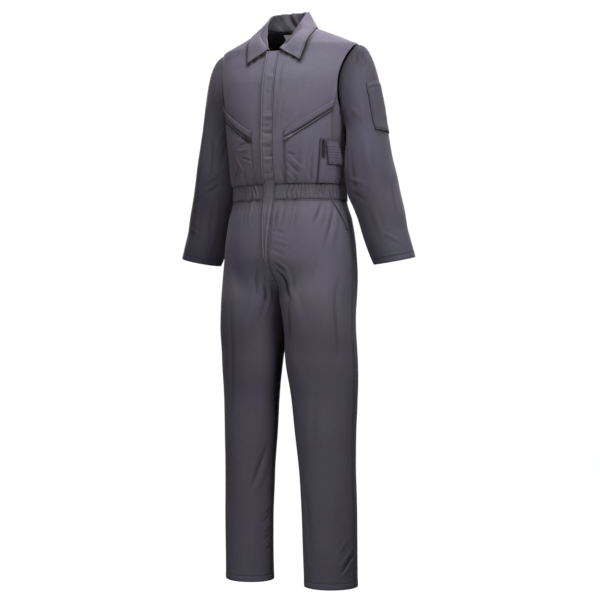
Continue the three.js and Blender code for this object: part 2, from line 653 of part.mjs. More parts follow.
function sliderSolid() {
  const body = new THREE.BoxGeometry(SLIDER.length, SLIDER.width, SLIDER.height);
  body.translate(0, 0, SLIDER.height / 2);
  const reach = WINDOW.length / 2 + SLIDER.wall;
  const rise = SLIDER.height + WINDOW.height;
  const side = rectangle(-reach, SLIDER.height - 1, reach, rise + SLIDER.wall);
  side.holes.push(rectangle(-WINDOW.length / 2, SLIDER.height, WINDOW.length / 2, rise, new THREE.Path()));
  const bridge = new THREE.ExtrudeGeometry(side, { depth: SLIDER.bridgeWidth, bevelEnabled: false });
  bridge.translate(0, 0, -SLIDER.bridgeWidth / 2);
  bridge.rotateX(Math.PI / 2);
  return geometryOf(solidOf(body).add(solidOf(bridge)));
}

// The pull turns on its end bar, which lies in the window of the bridge
function pullSolid() {
  const outline = rectangle(-PULL.bar / 2, -PULL.width / 2, PULL.length, PULL.width / 2);
  outline.holes.push(rectangle(PULL.bar / 2, -PULL.eyeWidth / 2, PULL.bar / 2 + PULL.eyeLength,
    PULL.eyeWidth / 2, new THREE.Path()));
  const plate = new THREE.ExtrudeGeometry(outline, { depth: PULL.thickness, bevelEnabled: false });
  plate.translate(0, 0, -PULL.thickness / 2);
  return geometryOf(solidOf(plate));
}

// Places the slider at the inner end of each zip, with its pull lying up the slant
for (const [name, sign] of [["left", 1], ["right", -1]]) {
  const middle = tapeTop + TAPE_HEIGHT / 2;
  const [angle, z] = chestLine(SLIDER_AT, middle);
  const normal = trunkNormal(angle, z);
  const at = trunkPoint(angle, z).addScaledVector(normal, LAY + TAPE + SEAM_GAP);
  const ahead = trunkPoint(...chestLine(SLIDER_AT + 0.05, middle)).sub(trunkPoint(angle, z));
  for (const vector of [normal, at, ahead]) vector.x *= sign;
  const zip = ahead.addScaledVector(normal, -ahead.dot(normal)).normalize();
  const across = normal.clone().cross(zip);
  const place = new THREE.Matrix4().makeBasis(zip, across, normal);
  place.setPosition(at);
  const slider = new THREE.Mesh(sliderSolid(), metalFinish);
  slider.name = `zip_slider_${name}`;
  slider.applyMatrix4(place);
  const pull = new THREE.Mesh(pullSolid(), metalFinish);
  pull.name = `zip_pull_${name}`;
  pull.rotation.y = radians(PULL_TILT);
  pull.position.z = SLIDER.height + WINDOW.height / 2;
  pull.updateMatrix();
  pull.applyMatrix4(place);
  suit.add(slider, pull);
}

export default suit;
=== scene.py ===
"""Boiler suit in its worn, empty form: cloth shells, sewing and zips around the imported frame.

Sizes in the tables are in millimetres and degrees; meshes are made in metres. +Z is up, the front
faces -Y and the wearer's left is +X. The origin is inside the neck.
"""

from __future__ import annotations

import logging
import math
from dataclasses import dataclass, field
from enum import Enum
from typing import Callable, Sequence

import bpy
import numpy as np
from mathutils import Matrix, Vector


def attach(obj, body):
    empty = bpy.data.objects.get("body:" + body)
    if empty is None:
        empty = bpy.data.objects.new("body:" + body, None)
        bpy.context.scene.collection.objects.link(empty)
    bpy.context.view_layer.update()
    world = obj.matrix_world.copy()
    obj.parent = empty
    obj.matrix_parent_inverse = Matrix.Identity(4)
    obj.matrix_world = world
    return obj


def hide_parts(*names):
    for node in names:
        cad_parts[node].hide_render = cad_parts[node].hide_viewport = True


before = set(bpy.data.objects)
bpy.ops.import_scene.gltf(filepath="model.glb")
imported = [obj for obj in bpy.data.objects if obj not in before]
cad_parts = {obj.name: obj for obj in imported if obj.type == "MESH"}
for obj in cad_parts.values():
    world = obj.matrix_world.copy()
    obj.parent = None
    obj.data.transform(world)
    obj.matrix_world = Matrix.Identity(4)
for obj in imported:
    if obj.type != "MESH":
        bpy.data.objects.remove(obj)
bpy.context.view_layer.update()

log = logging.getLogger("boiler_suit")

MM = 0.001
Surface = Callable[[np.ndarray, np.ndarray], np.ndarray]


class Side(Enum):
    """Which side of the wearer a piece is on."""

    LEFT = 1
    RIGHT = -1


class Edge(Enum):
    """An edge of a piece's grid: its first and last column, its top and bottom row."""

    FIRST = "first"
    LAST = "last"
    TOP = "top"
    BOTTOM = "bottom"


SIDES = (Edge.FIRST, Edge.LAST)


class Held(Enum):
    """How a piece of cloth is held."""

    HUNG = "hung"
    FOLDED = "folded"
    GATHERED = "gathered"
    LAID = "laid"


# Tables


class Table:
    """Rows of named columns, read smoothly along the first column, the height or share."""

    def __init__(self, columns: str, rows: Sequence[Sequence[float]]) -> None:
        """Sorts the rows by their key and works out the tangents.

        Args:
            columns: names of the columns, the key first.
            rows: the values, one row for each section.
        """
        data = np.array(sorted(rows), dtype=float)
        self.key = data[:, 0]
        self.columns = {name: data[:, k] for k, name in enumerate(columns.split())}
        self.tangents = {name: self._slopes(values) for name, values in self.columns.items()}

    def _slopes(self, values: np.ndarray) -> np.ndarray:
        """Tangents that add no bump between two rows.

        Args:
            values: one column's values.

        Returns:
            One tangent for each row.
        """
        slope = np.diff(values) / np.diff(self.key)
        before, after = slope[:-1], slope[1:]
        same = before * after > 0
        total = np.where(same, before + after, 1.0)
        middle = np.where(same, 2 * before * after / total, 0.0)
        return np.concatenate([slope[:1], middle, slope[-1:]])

    def read(self, name: str, at: np.ndarray | float) -> np.ndarray:
        """Values of one column.

        Args:
            name: the column.
            at: keys, clamped to the table.

        Returns:
            The values, in the shape of the keys.
        """
        keys = np.clip(at, self.key[0], self.key[-1])
        k = np.clip(np.searchsorted(self.key, keys, side="right") - 1, 0, len(self.key) - 2)
        span = self.key[k + 1] - self.key[k]
        t = (keys - self.key[k]) / span
        values, tangents = self.columns[name], self.tangents[name]
        return (
            values[k] * (2 * t**3 - 3 * t**2 + 1)
            + values[k + 1] * (3 * t**2 - 2 * t**3)
            + span * tangents[k] * (t**3 - 2 * t**2 + t)
            + span * tangents[k + 1] * (t**3 - t**2)
        )


TRUNK = Table(
    "z side front back power",
    [
        (12, 74, 50, 46, 1.9),
        (-4, 115, 64, 60, 1.85),
        (-18, 148, 73, 72, 1.85),
        (-32, 180, 79, 83, 1.9),
        (-46, 209, 83, 92, 1.95),
        (-64, 213, 88, 100, 2.0),
        (-92, 213, 99, 110, 2.05),
        (-148, 208, 116, 119, 2.2),
        (-240, 186, 127, 122, 2.4),
        (-300, 177, 128, 120, 2.4),
        (-355, 172, 125, 116, 2.3),
        (-408, 170, 119, 111, 2.2),
        (-427, 166, 113, 105, 2.2),
        (-469, 167, 114, 106, 2.2),
        (-520, 181, 123, 119, 2.2),
        (-600, 193, 129, 129, 2.2),
        (-686, 197, 129, 131, 2.2),
        (-728, 196, 125, 127, 2.2),
    ],
)
LEG = Table(
    "z x y long wide inner outer turn",
    [
        (-620, 98.4, -2, 98.2, 122, 3.2, 2.1, 0),
        (-728, 98.4, -8, 98.2, 111, 3.0, 2.1, 0),
        (-800, 101.5, -14, 98, 101, 2.5, 2.0, 10),
        (-898, 107.4, -20, 100, 81, 2.0, 2.0, 26),
        (-1021, 115.3, -13, 90.5, 73, 2.0, 2.0, 28),
        (-1105, 118.4, -12, 84.5, 71, 2.0, 2.0, 28),
        (-1230, 123.8, -9, 77.5, 67, 2.0, 2.0, 28),
        (-1356, 127.6, -7, 76, 64, 2.0, 2.0, 28),
        (-1527, 128.8, -1, 74, 66, 2.0, 2.0, 28),
    ],
)
SLEEVE = Table(
    "z x y out deep power rise",
    [
        (-273, 227.5, 18, 44, 76, 2.5, 0.32),
        (-355, 232, 18, 56, 80, 2.5, 0.28),
        (-437, 243, 25, 63.5, 84, 2.3, 0.25),
        (-478, 257, 26, 60.5, 78, 2.2, 0.23),
        (-519, 270, 27, 59.5, 73, 2.1, 0.22),
        (-560, 280, 27, 59, 69, 2.0, 0.22),
        (-601, 294, 27, 58, 65, 2.0, 0.22),
        (-633, 306, 27, 55, 60, 2.0, 0.22),
    ],
)
COLLAR = Table(
    "along roll_x roll_y roll_z edge_x edge_y edge_z",
    [
        (0, 0, 46, 62, 0, 60, 6),
        (0.18, 30, 38, 61, 44, 52, 6),
        (0.36, 50, 17, 57, 77, 30, 8),
        (0.52, 57, -6, 48, 88, -6, 9),
        (0.68, 55, -30, 28, 98, -44, -7),
        (0.84, 43, -58, -12, 93, -72, -37),
        (1, 19, -92, -56, 82, -98, -91),
    ],
)
FLAP = Table(
    "z right left",
    [
        (-62, -24, 13),
        (-130, -21, 16),
        (-427, -20, 16),
        (-480, -20, 15),
        (-560, -17, 12),
        (-625, -12, 8),
        (-654, -6, 5),
    ],
)


# Surfaces


def signed_power(value: np.ndarray, power: np.ndarray) -> np.ndarray:
    """A power that keeps the sign of its base."""
    return np.sign(value) * np.abs(value) ** power


def smooth(value: np.ndarray, low: float, high: float) -> np.ndarray:
    """0 below low, 1 above high, and smooth between them."""
    t = np.clip((value - low) / (high - low), 0, 1)
    return t * t * (3 - 2 * t)


def between(first: np.ndarray | float, last: np.ndarray | float, share: np.ndarray | float) -> np.ndarray:
    """The value at a share of the way from the first to the last."""
    return first + (last - first) * share


@dataclass(frozen=True)
class Cut:
    """Heights and widths that the panels share."""

    cloth: float = 1.6
    flap_cloth: float = 2.2
    seam_gap: float = 0.3
    lay: float = 0.7
    curved_lay: float = 1.0
    neck_top: float = 12.0
    front_neck: float = 11.0
    neck_pit: float = -64.5
    neck_half: float = 74.0
    neck_curve: float = 0.6
    shoulder_tip: float = -46.0
    armhole_depth: float = 194.0
    bite_front: float = 31.0
    bite_back: float = 27.0
    bite_round: float = 0.45
    bodice_hem: float = -427.0
    band_hem: float = -469.0
    crotch: float = -728.0
    rise_blend: float = 112.0
    leg_hem: float = -1527.0


CUT = Cut()
ON_PATCH = CUT.curved_lay + CUT.lay + CUT.cloth


def trunk_point(angle: np.ndarray, z: np.ndarray) -> np.ndarray:
    """Trunk: angle 0 is the centre front, 90 the left side, 180 the centre back.

    Args:
        angle: degrees round the trunk.
        z: heights.

    Returns:
        Points.
    """
    turn = np.radians(angle)
    power = 2 / TRUNK.read("power", z)
    forward = np.cos(turn)
    depth = np.where(forward > 0, TRUNK.read("front", z), TRUNK.read("back", z))
    x = TRUNK.read("side", z) * signed_power(np.sin(turn), power)
    y = -depth * signed_power(forward, power)
    return np.stack([x, y, np.broadcast_to(z, np.shape(x))], axis=-1)


def angle_at(x: np.ndarray | float, z: np.ndarray | float) -> np.ndarray:
    """The angle at which the front of the trunk has this x."""
    share = np.minimum(1, np.abs(x) / TRUNK.read("side", z))
    return np.sign(x) * np.degrees(np.arcsin(share ** (TRUNK.read("power", z) / 2)))


def leg_point(angle: np.ndarray, z: np.ndarray) -> np.ndarray:
    """Left leg: angle -180 is the inner leg, -90 the front, 0 the side seam, 90 the back.

    Args:
        angle: degrees round the leg.
        z: heights.

    Returns:
        Points, blended with the trunk above the crotch.
    """
    turn = np.radians(LEG.read("turn", z))
    bearing = np.radians(angle) - turn
    inner = np.cos(bearing) < 0
    power = 2 / np.where(inner, LEG.read("inner", z), LEG.read("outer", z))
    u = signed_power(np.cos(bearing), power) * LEG.read("long", z)
    v = signed_power(np.sin(bearing), power) * LEG.read("wide", z)
    x = u * np.cos(turn) - v * np.sin(turn) + LEG.read("x", z)
    y = u * np.sin(turn) + v * np.cos(turn) + LEG.read("y", z)
    ring = np.stack([x, y, np.broadcast_to(z, np.shape(x))], axis=-1)
    level = (z - CUT.crotch) / CUT.rise_blend
    # Eased in at the crotch, so that no line shows across the thigh
    rise = np.clip(0.5 * (level + np.sqrt(level**2 + 0.05)), 0, 1)
    share = np.sin(np.pi / 2 * rise)[..., None]
    return ring + (trunk_point((angle + 180) / 2, z) - ring) * share


def front_point(angle: np.ndarray, z: np.ndarray) -> np.ndarray:
    """Front of the whole suit, bodice and trousers, at trunk angles.

    Args:
        angle: degrees round the trunk.
        z: heights.

    Returns:
        Points.
    """
    leg = leg_point(2 * np.abs(angle) - 180, np.minimum(z, CUT.band_hem))
    leg[..., 0] *= np.where(angle < 0, -1, 1)
    above = (z > CUT.band_hem)[..., None]
    return np.where(above, trunk_point(angle, z), leg)


def armhole_height(angle: np.ndarray) -> np.ndarray:
    """Height of the armhole's ring, 0 degrees at the shoulder tip and 180 under the arm."""
    return CUT.shoulder_tip - CUT.armhole_depth / 2 * (1 - np.cos(np.radians(angle)))


def bite(z: np.ndarray, degrees: float) -> np.ndarray:
    """How far the armhole cuts into the front or back at a height, in degrees.

    Args:
        z: heights.
        degrees: the deepest cut.

    Returns:
        Degrees round the trunk.
    """
    half = CUT.armhole_depth / 2
    level = (z - CUT.shoulder_tip + half) / half
    return degrees * np.maximum(0, 1 - level**2) ** CUT.bite_round


def armhole_point(angle: np.ndarray) -> np.ndarray:
    """Point of the left armhole's ring.

    Args:
        angle: degrees round the ring, 0 at the shoulder tip and 180 under the arm.

    Returns:
        Points.
    """
    z = armhole_height(angle)
    behind = np.mod(angle, 360) < 180
    round_trunk = np.where(behind, 90 + bite(z, CUT.bite_back), 90 - bite(z, CUT.bite_front))
    return trunk_point(round_trunk, z)


def sleeve_ring(angle: np.ndarray, z: np.ndarray) -> np.ndarray:
    """Ring of the left sleeve below its cap; angle 0 is the outside and 90 the back.

    Args:
        angle: degrees round the arm.
        z: heights of the ring's middle.

    Returns:
        Points.
    """
    turn = np.radians(angle)
    power = 2 / SLEEVE.read("power", z)
    out = SLEEVE.read("out", z) * signed_power(np.cos(turn), power)
    deep = SLEEVE.read("deep", z) * signed_power(np.sin(turn), power)
    x = SLEEVE.read("x", z) + out
    return np.stack([x, SLEEVE.read("y", z) + deep, z + out * SLEEVE.read("rise", z)], axis=-1)


SLEEVE_TOP = -273.0
# How the cap's curve leaves the armhole's ring and how it meets the arm
CAP_LEAVE = {"top_angle": 12, "bottom_angle": 72, "top_reach": 54, "bottom_reach": 12}
CAP_ARRIVE = {"top_reach": 104, "bottom_reach": 14, "outward": 0.13}


def sleeve_point(angle: np.ndarray, down: np.ndarray) -> np.ndarray:
    """Left sleeve: down 0 to 1 is the cap, past 1 the arm, in hundreds of millimetres.

    Args:
        angle: degrees round the arm.
        down: distance down the sleeve.

    Returns:
        Points.
    """
    arm = sleeve_ring(angle, SLEEVE_TOP - (np.maximum(down, 1) - 1) * 100)
    under = (1 - np.cos(np.radians(angle))) / 2
    start = armhole_point(angle)
    end = sleeve_ring(angle, np.full(np.shape(angle), SLEEVE_TOP))
    fall = np.radians(
        between(CAP_LEAVE["top_angle"], CAP_LEAVE["bottom_angle"], under)
    )
    reach = between(CAP_LEAVE["top_reach"], CAP_LEAVE["bottom_reach"], under)
    leave = np.stack([np.cos(fall) * reach, 0 * reach, -np.sin(fall) * reach], axis=-1)
    reach = between(CAP_ARRIVE["top_reach"], CAP_ARRIVE["bottom_reach"], under)
    arrive = np.stack([CAP_ARRIVE["outward"] * reach, 0 * reach, -reach], axis=-1)
    t = np.minimum(down, 1)[..., None]
    cap = (
        (1 - t) ** 3 * start
        + 3 * (1 - t) ** 2 * t * (start + leave)
        + 3 * (1 - t) * t**2 * (end - arrive)
        + t**3 * end
    )
    return np.where((down > 1)[..., None], arm, cap)


def unit(vectors: np.ndarray) -> np.ndarray:
    """Vectors brought to a length of one."""
    return vectors / np.maximum(np.linalg.norm(vectors, axis=-1, keepdims=True), 1e-9)


def normals_of(surface: Surface, angle: np.ndarray, down: np.ndarray, step: float) -> np.ndarray:
    """Outward normals of a surface whose first value runs round and second down.

    Args:
        surface: the surface.
        angle: degrees round it.
        down: its second value.
        step: a small change of the second value, in its downward direction.

    Returns:
        Unit normals.
    """
    around = surface(angle + 0.6, down) - surface(angle - 0.6, down)
    below = surface(angle, down + step) - surface(angle, down - step)
    return unit(np.cross(below, around))


def lattice_noise(points: np.ndarray, scale: Sequence[float], seed: int) -> np.ndarray:
    """Smooth noise from -1 to 1 in space, the same at each run.

    Args:
        points: places, in millimetres.
        scale: size of a cell along x, y and z.
        seed: which noise.

    Returns:
        One value for each place.
    """
    table = np.random.default_rng(seed).uniform(-1, 1, 4096)
    cells = points / np.asarray(scale, dtype=float)
    low = np.floor(cells).astype(np.int64)
    t = cells - low
    t = t**3 * (t * (t * 6 - 15) + 10)
    total = np.zeros(points.shape[:-1])
    for corner in range(8):
        step = np.array([corner & 1, corner >> 1 & 1, corner >> 2 & 1])
        weight = np.prod(np.where(step == 1, t, 1 - t), axis=-1)
        at = low + step
        index = (at[..., 0] * 73856093 ^ at[..., 1] * 19349663 ^ at[..., 2] * 83492791) & 4095
        total += weight * table[index]
    return total


# Relief


CREASE_REACH = 3.2
CREASE_BANK = 0.32
CREASE_GAIN = 1.35


@dataclass(frozen=True)
class Crease:
    """A soft ridge across a surface, or a trough if its height is below zero."""

    start: tuple[float, float]
    end: tuple[float, float]
    width: float
    height: float
    bow: float = 0.0

    def line(self, surface: Surface, side: Side) -> np.ndarray:
        """The crease's points.

        Args:
            surface: where it lies.
            side: which side of the wearer the surface's points are for.

        Returns:
            A row of points, in the wearer's own frame.
        """
        t = np.linspace(0, 1, 11)
        angle = self.start[0] + (self.end[0] - self.start[0]) * t + self.bow * np.sin(np.pi * t)
        down = self.start[1] + (self.end[1] - self.start[1]) * t
        return surface(angle, down) * (side.value, 1, 1)


@dataclass
class Relief:
    """What lifts a surface off its plain form: soft noise and listed creases."""

    swell: float
    scale: tuple[float, float, float]
    seed: int
    creases: list[tuple[Crease, np.ndarray]] = field(default_factory=list)

    def place(self, surface: Surface, side: Side, rows: Sequence[Sequence[float]]) -> None:
        """Lays creases on a surface.

        Args:
            surface: where they lie.
            side: which side of the wearer the surface's points are for.
            rows: for each crease both values of its start and its end, its width, height and bow.
        """
        for row in rows:
            crease = Crease(tuple(row[:2]), tuple(row[2:4]), *row[4:])
            self.creases.append((crease, crease.line(surface, side)))

    def height(self, points: np.ndarray) -> np.ndarray:
        """How far each point is lifted.

        Args:
            points: places on the plain surface.

        Returns:
            Heights in millimetres.
        """
        shape = points.shape[:-1]
        flat = points.reshape(-1, 3)
        total = self.swell * lattice_noise(flat, self.scale, self.seed)
        fine = [size * 0.42 for size in self.scale]
        total += 0.34 * self.swell * lattice_noise(flat, fine, self.seed + 1)
        for crease, line in self.creases:
            total += self._crease(flat, crease, line)
        return total.reshape(shape)

    @staticmethod
    def _crease(flat: np.ndarray, crease: Crease, line: np.ndarray) -> np.ndarray:
        """Height of one crease at each point.

        Args:
            flat: places, in rows of three.
            crease: the crease.
            line: its points.

        Returns:
            One height for each place.
        """
        reach = CREASE_REACH * crease.width
        low, high = line.min(axis=0) - reach, line.max(axis=0) + reach
        near = np.all((flat > low) & (flat < high), axis=1)
        total = np.zeros(len(flat))
        if not near.any():
            return total
        spot = flat[near]
        best = np.full(len(spot), 1e9)
        place = np.zeros(len(spot))
        for k in range(len(line) - 1):
            step = line[k + 1] - line[k]
            t = np.clip((spot - line[k]) @ step / max(step @ step, 1e-9), 0, 1)
            away = np.linalg.norm(spot - line[k] - t[:, None] * step, axis=1)
            closer = away < best
            best = np.where(closer, away, best)
            place = np.where(closer, (k + t) / (len(line) - 1), place)
        fade = np.sin(np.pi * np.clip(place, 0.02, 0.98)) ** 0.7
        across = best / crease.width
        shape = np.exp(-(across**2)) - CREASE_BANK * np.exp(-((across / 2) ** 2))
        total[near] = CREASE_GAIN * crease.height * fade * shape
        return total


# Pieces of cloth


# How wide the thread's groove is, how far puckers run from the sewing, and how an edge rolls under
GROOVE = 1.5
PUCKER_INWARD = 9.0
PUCKER_OUTWARD = 14.0
EDGE_ROLL = 0.45
EDGE_ROLL_WIDTH = 1.3
# How far round a point its level is taken, and the depth below it at which the painted shade of a trough is
# full
LEVEL_REACH = 9.0
DARK_DEPTH = 2.4


@dataclass(frozen=True)
class Seam:
    """A line of sewing along an edge: how far in, how deep it pulls, its puckers, and the painted shade
    along the edge and the sewing.
    """

    edge: Edge
    inset: float = 6.0
    depth: float = 0.7
    pucker: float = 0.35
    spacing: float = 11.0
    sewn: bool = True
    rows: int = 1
    between: float = 6.0
    edge_shade: float = 0.9
    start: float = 0.0
    end: float = 1.0


def sewn(edges: Sequence[Edge], *sizes: float, **more: float) -> list[Seam]:
    """The same line of sewing along several edges."""
    return [Seam(edge, *sizes, **more) for edge in edges]


@dataclass
class Grid:
    """Points of a piece in rows from its top to its bottom, with outward normals."""

    points: np.ndarray
    normals: np.ndarray
    closed: bool = False

    def run(self, axis: int) -> np.ndarray:
        """Distance walked along the rows (1) or down the columns (0).

        Args:
            axis: which way.

        Returns:
            One distance for each point.
        """
        step = np.linalg.norm(np.diff(self.points, axis=axis), axis=-1)
        pad = [(0, 0), (0, 0)]
        pad[axis] = (1, 0)
        return np.cumsum(np.pad(step, pad), axis=axis)

    def distance(self, edge: Edge) -> np.ndarray:
        """Distance of each point from an edge.

        Args:
            edge: the edge.

        Returns:
            One distance for each point.
        """
        run = self.run(1 if edge in SIDES else 0)
        if edge is Edge.FIRST or edge is Edge.TOP:
            return run
        return (run[:, -1:] if edge is Edge.LAST else run[-1:, :]) - run

    def shares(self, axis: int) -> np.ndarray:
        """Even shares from 0 to 1 down the rows (0) or along the columns (1), for the whole grid."""
        share = np.linspace(0, 1, self.points.shape[axis])
        return share[:, None] if axis == 0 else share[None, :]

    def along(self, edge: Edge) -> np.ndarray:
        """Distance of each point along an edge."""
        return self.run(0 if edge in SIDES else 1)


ROWS_BY_AN_EDGE = np.array([0, 0.9, 2.4, 4.2, 5.2, 6.0, 6.8, 8.0, 10.0])


def spaced(length: float, step: float) -> np.ndarray:
    """Places from 0 to 1, closer together by both ends where the sewing is.

    Args:
        length: the whole length.
        step: the usual spacing.

    Returns:
        Rising places.
    """
    ends = ROWS_BY_AN_EDGE
    if length < 3 * ends[-1] + step:
        return np.linspace(0, 1, max(2, int(length / min(step, 2.5)) + 1))
    count = max(2, int((length - 2 * ends[-1]) / step))
    middle = np.linspace(ends[-1], length - ends[-1], count + 1)
    return np.concatenate([ends[:-1], middle, (length - ends[:-1])[::-1]]) / length


def even_rows(
    line: Callable[[np.ndarray], np.ndarray], start: np.ndarray, end: np.ndarray, across: np.ndarray
) -> np.ndarray:
    """First values of each row that lie at given shares of the row's real length.

    Args:
        line: points of all rows at given first values.
        start: first value at the start of each row.
        end: first value at the end of each row.
        across: the shares wanted.

    Returns:
        One row of first values for each row.
    """
    t = np.linspace(0, 1, 161)
    values = start[:, None] + (end - start)[:, None] * t[None, :]
    rows = line(values)
    length = np.cumsum(np.pad(np.linalg.norm(np.diff(rows, axis=1), axis=-1), ((0, 0), (1, 0))), axis=1)
    wanted = across[None, :] * length[:, -1:]
    return np.stack([np.interp(w, l, v) for w, l, v in zip(wanted, length, values)])


def grid_on(
    surface: Surface,
    start: np.ndarray,
    end: np.ndarray,
    down: np.ndarray,
    across: np.ndarray,
) -> Grid:
    """A grid whose rows each run at one second value, with columns at even shares of real length.

    Args:
        surface: the surface.
        start: first value at the start of each row.
        end: first value at the end of each row.
        down: second value of each row.
        across: shares of the columns.

    Returns:
        The grid, on the surface itself.
    """

    def line(values: np.ndarray) -> np.ndarray:
        """Points of all rows at given first values."""
        return surface(values, np.broadcast_to(down[:, None], values.shape))

    angle = even_rows(line, start, end, across)
    second = np.broadcast_to(down[:, None], angle.shape)
    return Grid(surface(angle, second), normals_of(surface, angle, second, -1.0))


def mapped_grid(
    place: Callable[[np.ndarray, np.ndarray], tuple[np.ndarray, np.ndarray]],
    surface: Surface,
    across: np.ndarray,
    down: np.ndarray,
    step: float = -1.0,
) -> Grid:
    """A grid of a piece sewn on a surface.

    Args:
        place: gives the surface's two values at shares across and down the piece.
        surface: what it is sewn on.
        across: shares of its columns.
        down: shares of its rows.
        step: a small downward change of the surface's second value.

    Returns:
        The grid, on the surface itself.
    """
    s, t = np.meshgrid(across, down)
    first, second = place(s, t)
    return Grid(surface(first, second), normals_of(surface, first, second, step))


def grid_normals(points: np.ndarray, closed: bool) -> np.ndarray:
    """Outward normals from a grid's own points.

    Args:
        points: the grid's points.
        closed: whether its last column meets its first.

    Returns:
        Unit normals.
    """
    if closed:
        around = np.roll(points, -1, axis=1) - np.roll(points, 1, axis=1)
    else:
        around = np.gradient(points, axis=1)
    return unit(np.cross(np.gradient(points, axis=0), around))


def add_object(name: str, data: bpy.types.ID) -> bpy.types.Object:
    """A new object in the scene."""
    made = bpy.data.objects.new(name, data)
    bpy.context.scene.collection.objects.link(made)
    return made


@dataclass
class Cloth:
    """One cut piece of cloth, as a thin shell on the form of its solid."""

    name: str
    grid: Grid
    node: str | tuple[str, ...]
    finish: Twill
    relief: Relief | None = None
    side: Side = Side.LEFT
    lift: np.ndarray | float = 0.0
    thickness: float = CUT.cloth
    seams: Sequence[Seam] = ()
    waves: np.ndarray | float = 0.0
    # Painted shade over the right side, and over the whole wrong side
    shade: np.ndarray | float = 0.0
    inside_shade: float = 0.5
    held: Held = Held.HUNG
    rests_on: Sequence[str] = ()
    slot: str = "cloth"
    body: str = "suit"

    def build(self, sewing: Sewing) -> bpy.types.Object:
        """Makes the shell and its sewing lines.

        Args:
            sewing: where the lines of stitches are collected.

        Returns:
            The piece.
        """
        base = self.grid
        mirror = np.array([self.side.value, 1, 1])
        lift = self.lift + self.waves + np.zeros(base.points.shape[:2])
        if self.relief is not None:
            lift = lift + self.relief.height(base.points * mirror)
        # Painted shade: the piece's own shade, the dark lines of its seams and darker troughs
        wear, hollow = np.zeros(lift.shape), np.zeros(lift.shape) + self.shade
        for seam in self.seams:
            change, worn, dark = self._sew(seam)
            lift += change
            wear = np.maximum(wear, worn)
            hollow = np.maximum(hollow, dark)
        hollow = np.clip(hollow + self._trough_shade(lift), 0, 1)
        outer = base.points + base.normals * lift[..., None]
        normals = grid_normals(outer, base.closed)
        inner = outer - normals * self.thickness
        for seam in self.seams:
            if seam.sewn:
                self._stitch(seam, outer, normals, sewing)
        piece = self._mesh(outer * mirror, inner * mirror, wear, hollow)
        self._declare(piece)
        return piece

    def _trough_shade(self, lift: np.ndarray) -> np.ndarray:
        """Painted shade of the troughs: how far each point lies below the cloth round it.

        Args:
            lift: heights of the cloth on its plain form.

        Returns:
            0 on the level or on a ridge, up to 1 in a deep trough.
        """
        level = lift
        for axis in (0, 1):
            count = lift.shape[axis]
            step = float(self.grid.run(axis).max()) / count
            reach = int(np.clip(round(LEVEL_REACH / max(step, 0.1)), 1, max(count // 3, 1)))
            pad = [(0, 0), (0, 0)]
            pad[axis] = (reach, reach)
            padded = np.cumsum(np.pad(level, pad, mode="edge"), axis=axis)
            padded = np.insert(padded, 0, 0, axis=axis)
            wide = 2 * reach + 1
            level = (padded.take(range(wide, wide + count), axis) - padded.take(range(count), axis)) / wide
        return np.clip((level - lift) / DARK_DEPTH, 0, 1)

    def _sew(self, seam: Seam) -> tuple[np.ndarray, np.ndarray, np.ndarray]:
        """Relief, wear and painted shade lines that one seam gives.

        Args:
            seam: the seam.

        Returns:
            The change of height, the wear and the painted shade lines, for each point.
        """
        away = self.grid.distance(seam.edge)
        along = self.grid.along(seam.edge)
        axis = 0 if seam.edge in SIDES else 1
        share = along / np.maximum(along.max(axis=axis, keepdims=True), 1e-6)
        on = smooth(share, seam.start - 0.02, seam.start + 0.001) * (
            1 - smooth(share, seam.end - 0.001, seam.end + 0.02))
        rows = [seam.inset + k * seam.between for k in range(seam.rows)]
        change = np.zeros(away.shape)
        for inset in rows:
            change -= seam.depth * np.exp(-(((away - inset) / GROOVE) ** 2))
        # Puckers start at the sewing and die away from it, irregular along the seam
        seed = sum(map(ord, self.name)) + len(seam.edge.value)
        key = np.stack([along, away * 0.35, 0 * along], axis=-1)
        beat = lattice_noise(key, (seam.spacing * 0.62, 26, 50), seed)
        strength = 0.55 + 0.45 * lattice_noise(key, (seam.spacing * 6, 300, 50), seed + 5)
        reach = rows[-1]
        fade = np.exp(-np.maximum(away - reach, 0) / PUCKER_INWARD)
        fade = fade * np.exp(-np.maximum(reach - away, 0) / PUCKER_OUTWARD)
        change += seam.pucker * strength * beat * fade
        change -= EDGE_ROLL * np.exp(-((away / EDGE_ROLL_WIDTH) ** 2))
        worn = 0.25 * np.exp(-(((away - 2.5) / 1.6) ** 2)) + 0.12 * np.exp(-away / (reach + 2))
        dark = seam.edge_shade * np.exp(-((away / 1.6) ** 2))
        if seam.sewn:
            for inset in rows:
                dark = dark + 0.5 * np.exp(-(((away - inset) / 1.1) ** 2))
        return change * on, worn * on, dark * on

    def _stitch(self, seam: Seam, outer: np.ndarray, normals: np.ndarray, sewing: Sewing) -> None:
        """Adds the seam's lines of stitches.

        Args:
            seam: the seam.
            outer: points of the cloth's right side.
            normals: its outward normals.
            sewing: where the lines of stitches are collected.
        """
        away = self.grid.distance(seam.edge)
        mirror = np.array([self.side.value, 1, 1])
        for k in range(seam.rows):
            inset = seam.inset + k * seam.between
            sideways = seam.edge in SIDES
            table = away if sideways else away.T
            points = outer if sideways else outer.transpose(1, 0, 2)
            facing = normals if sideways else normals.transpose(1, 0, 2)
            line, up = [], []
            count = len(table)
            for j in range(int(seam.start * count), max(int(math.ceil(seam.end * count)), 1)):
                row = table[j]
                order = np.argsort(row)
                if row[order[-1]] < inset:
                    continue
                line.append([np.interp(inset, row[order], points[j][order, a]) for a in range(3)])
                up.append([np.interp(inset, row[order], facing[j][order, a]) for a in range(3)])
            if len(line) > 2:
                sewing.add(np.array(line) * mirror, unit(np.array(up)) * mirror)

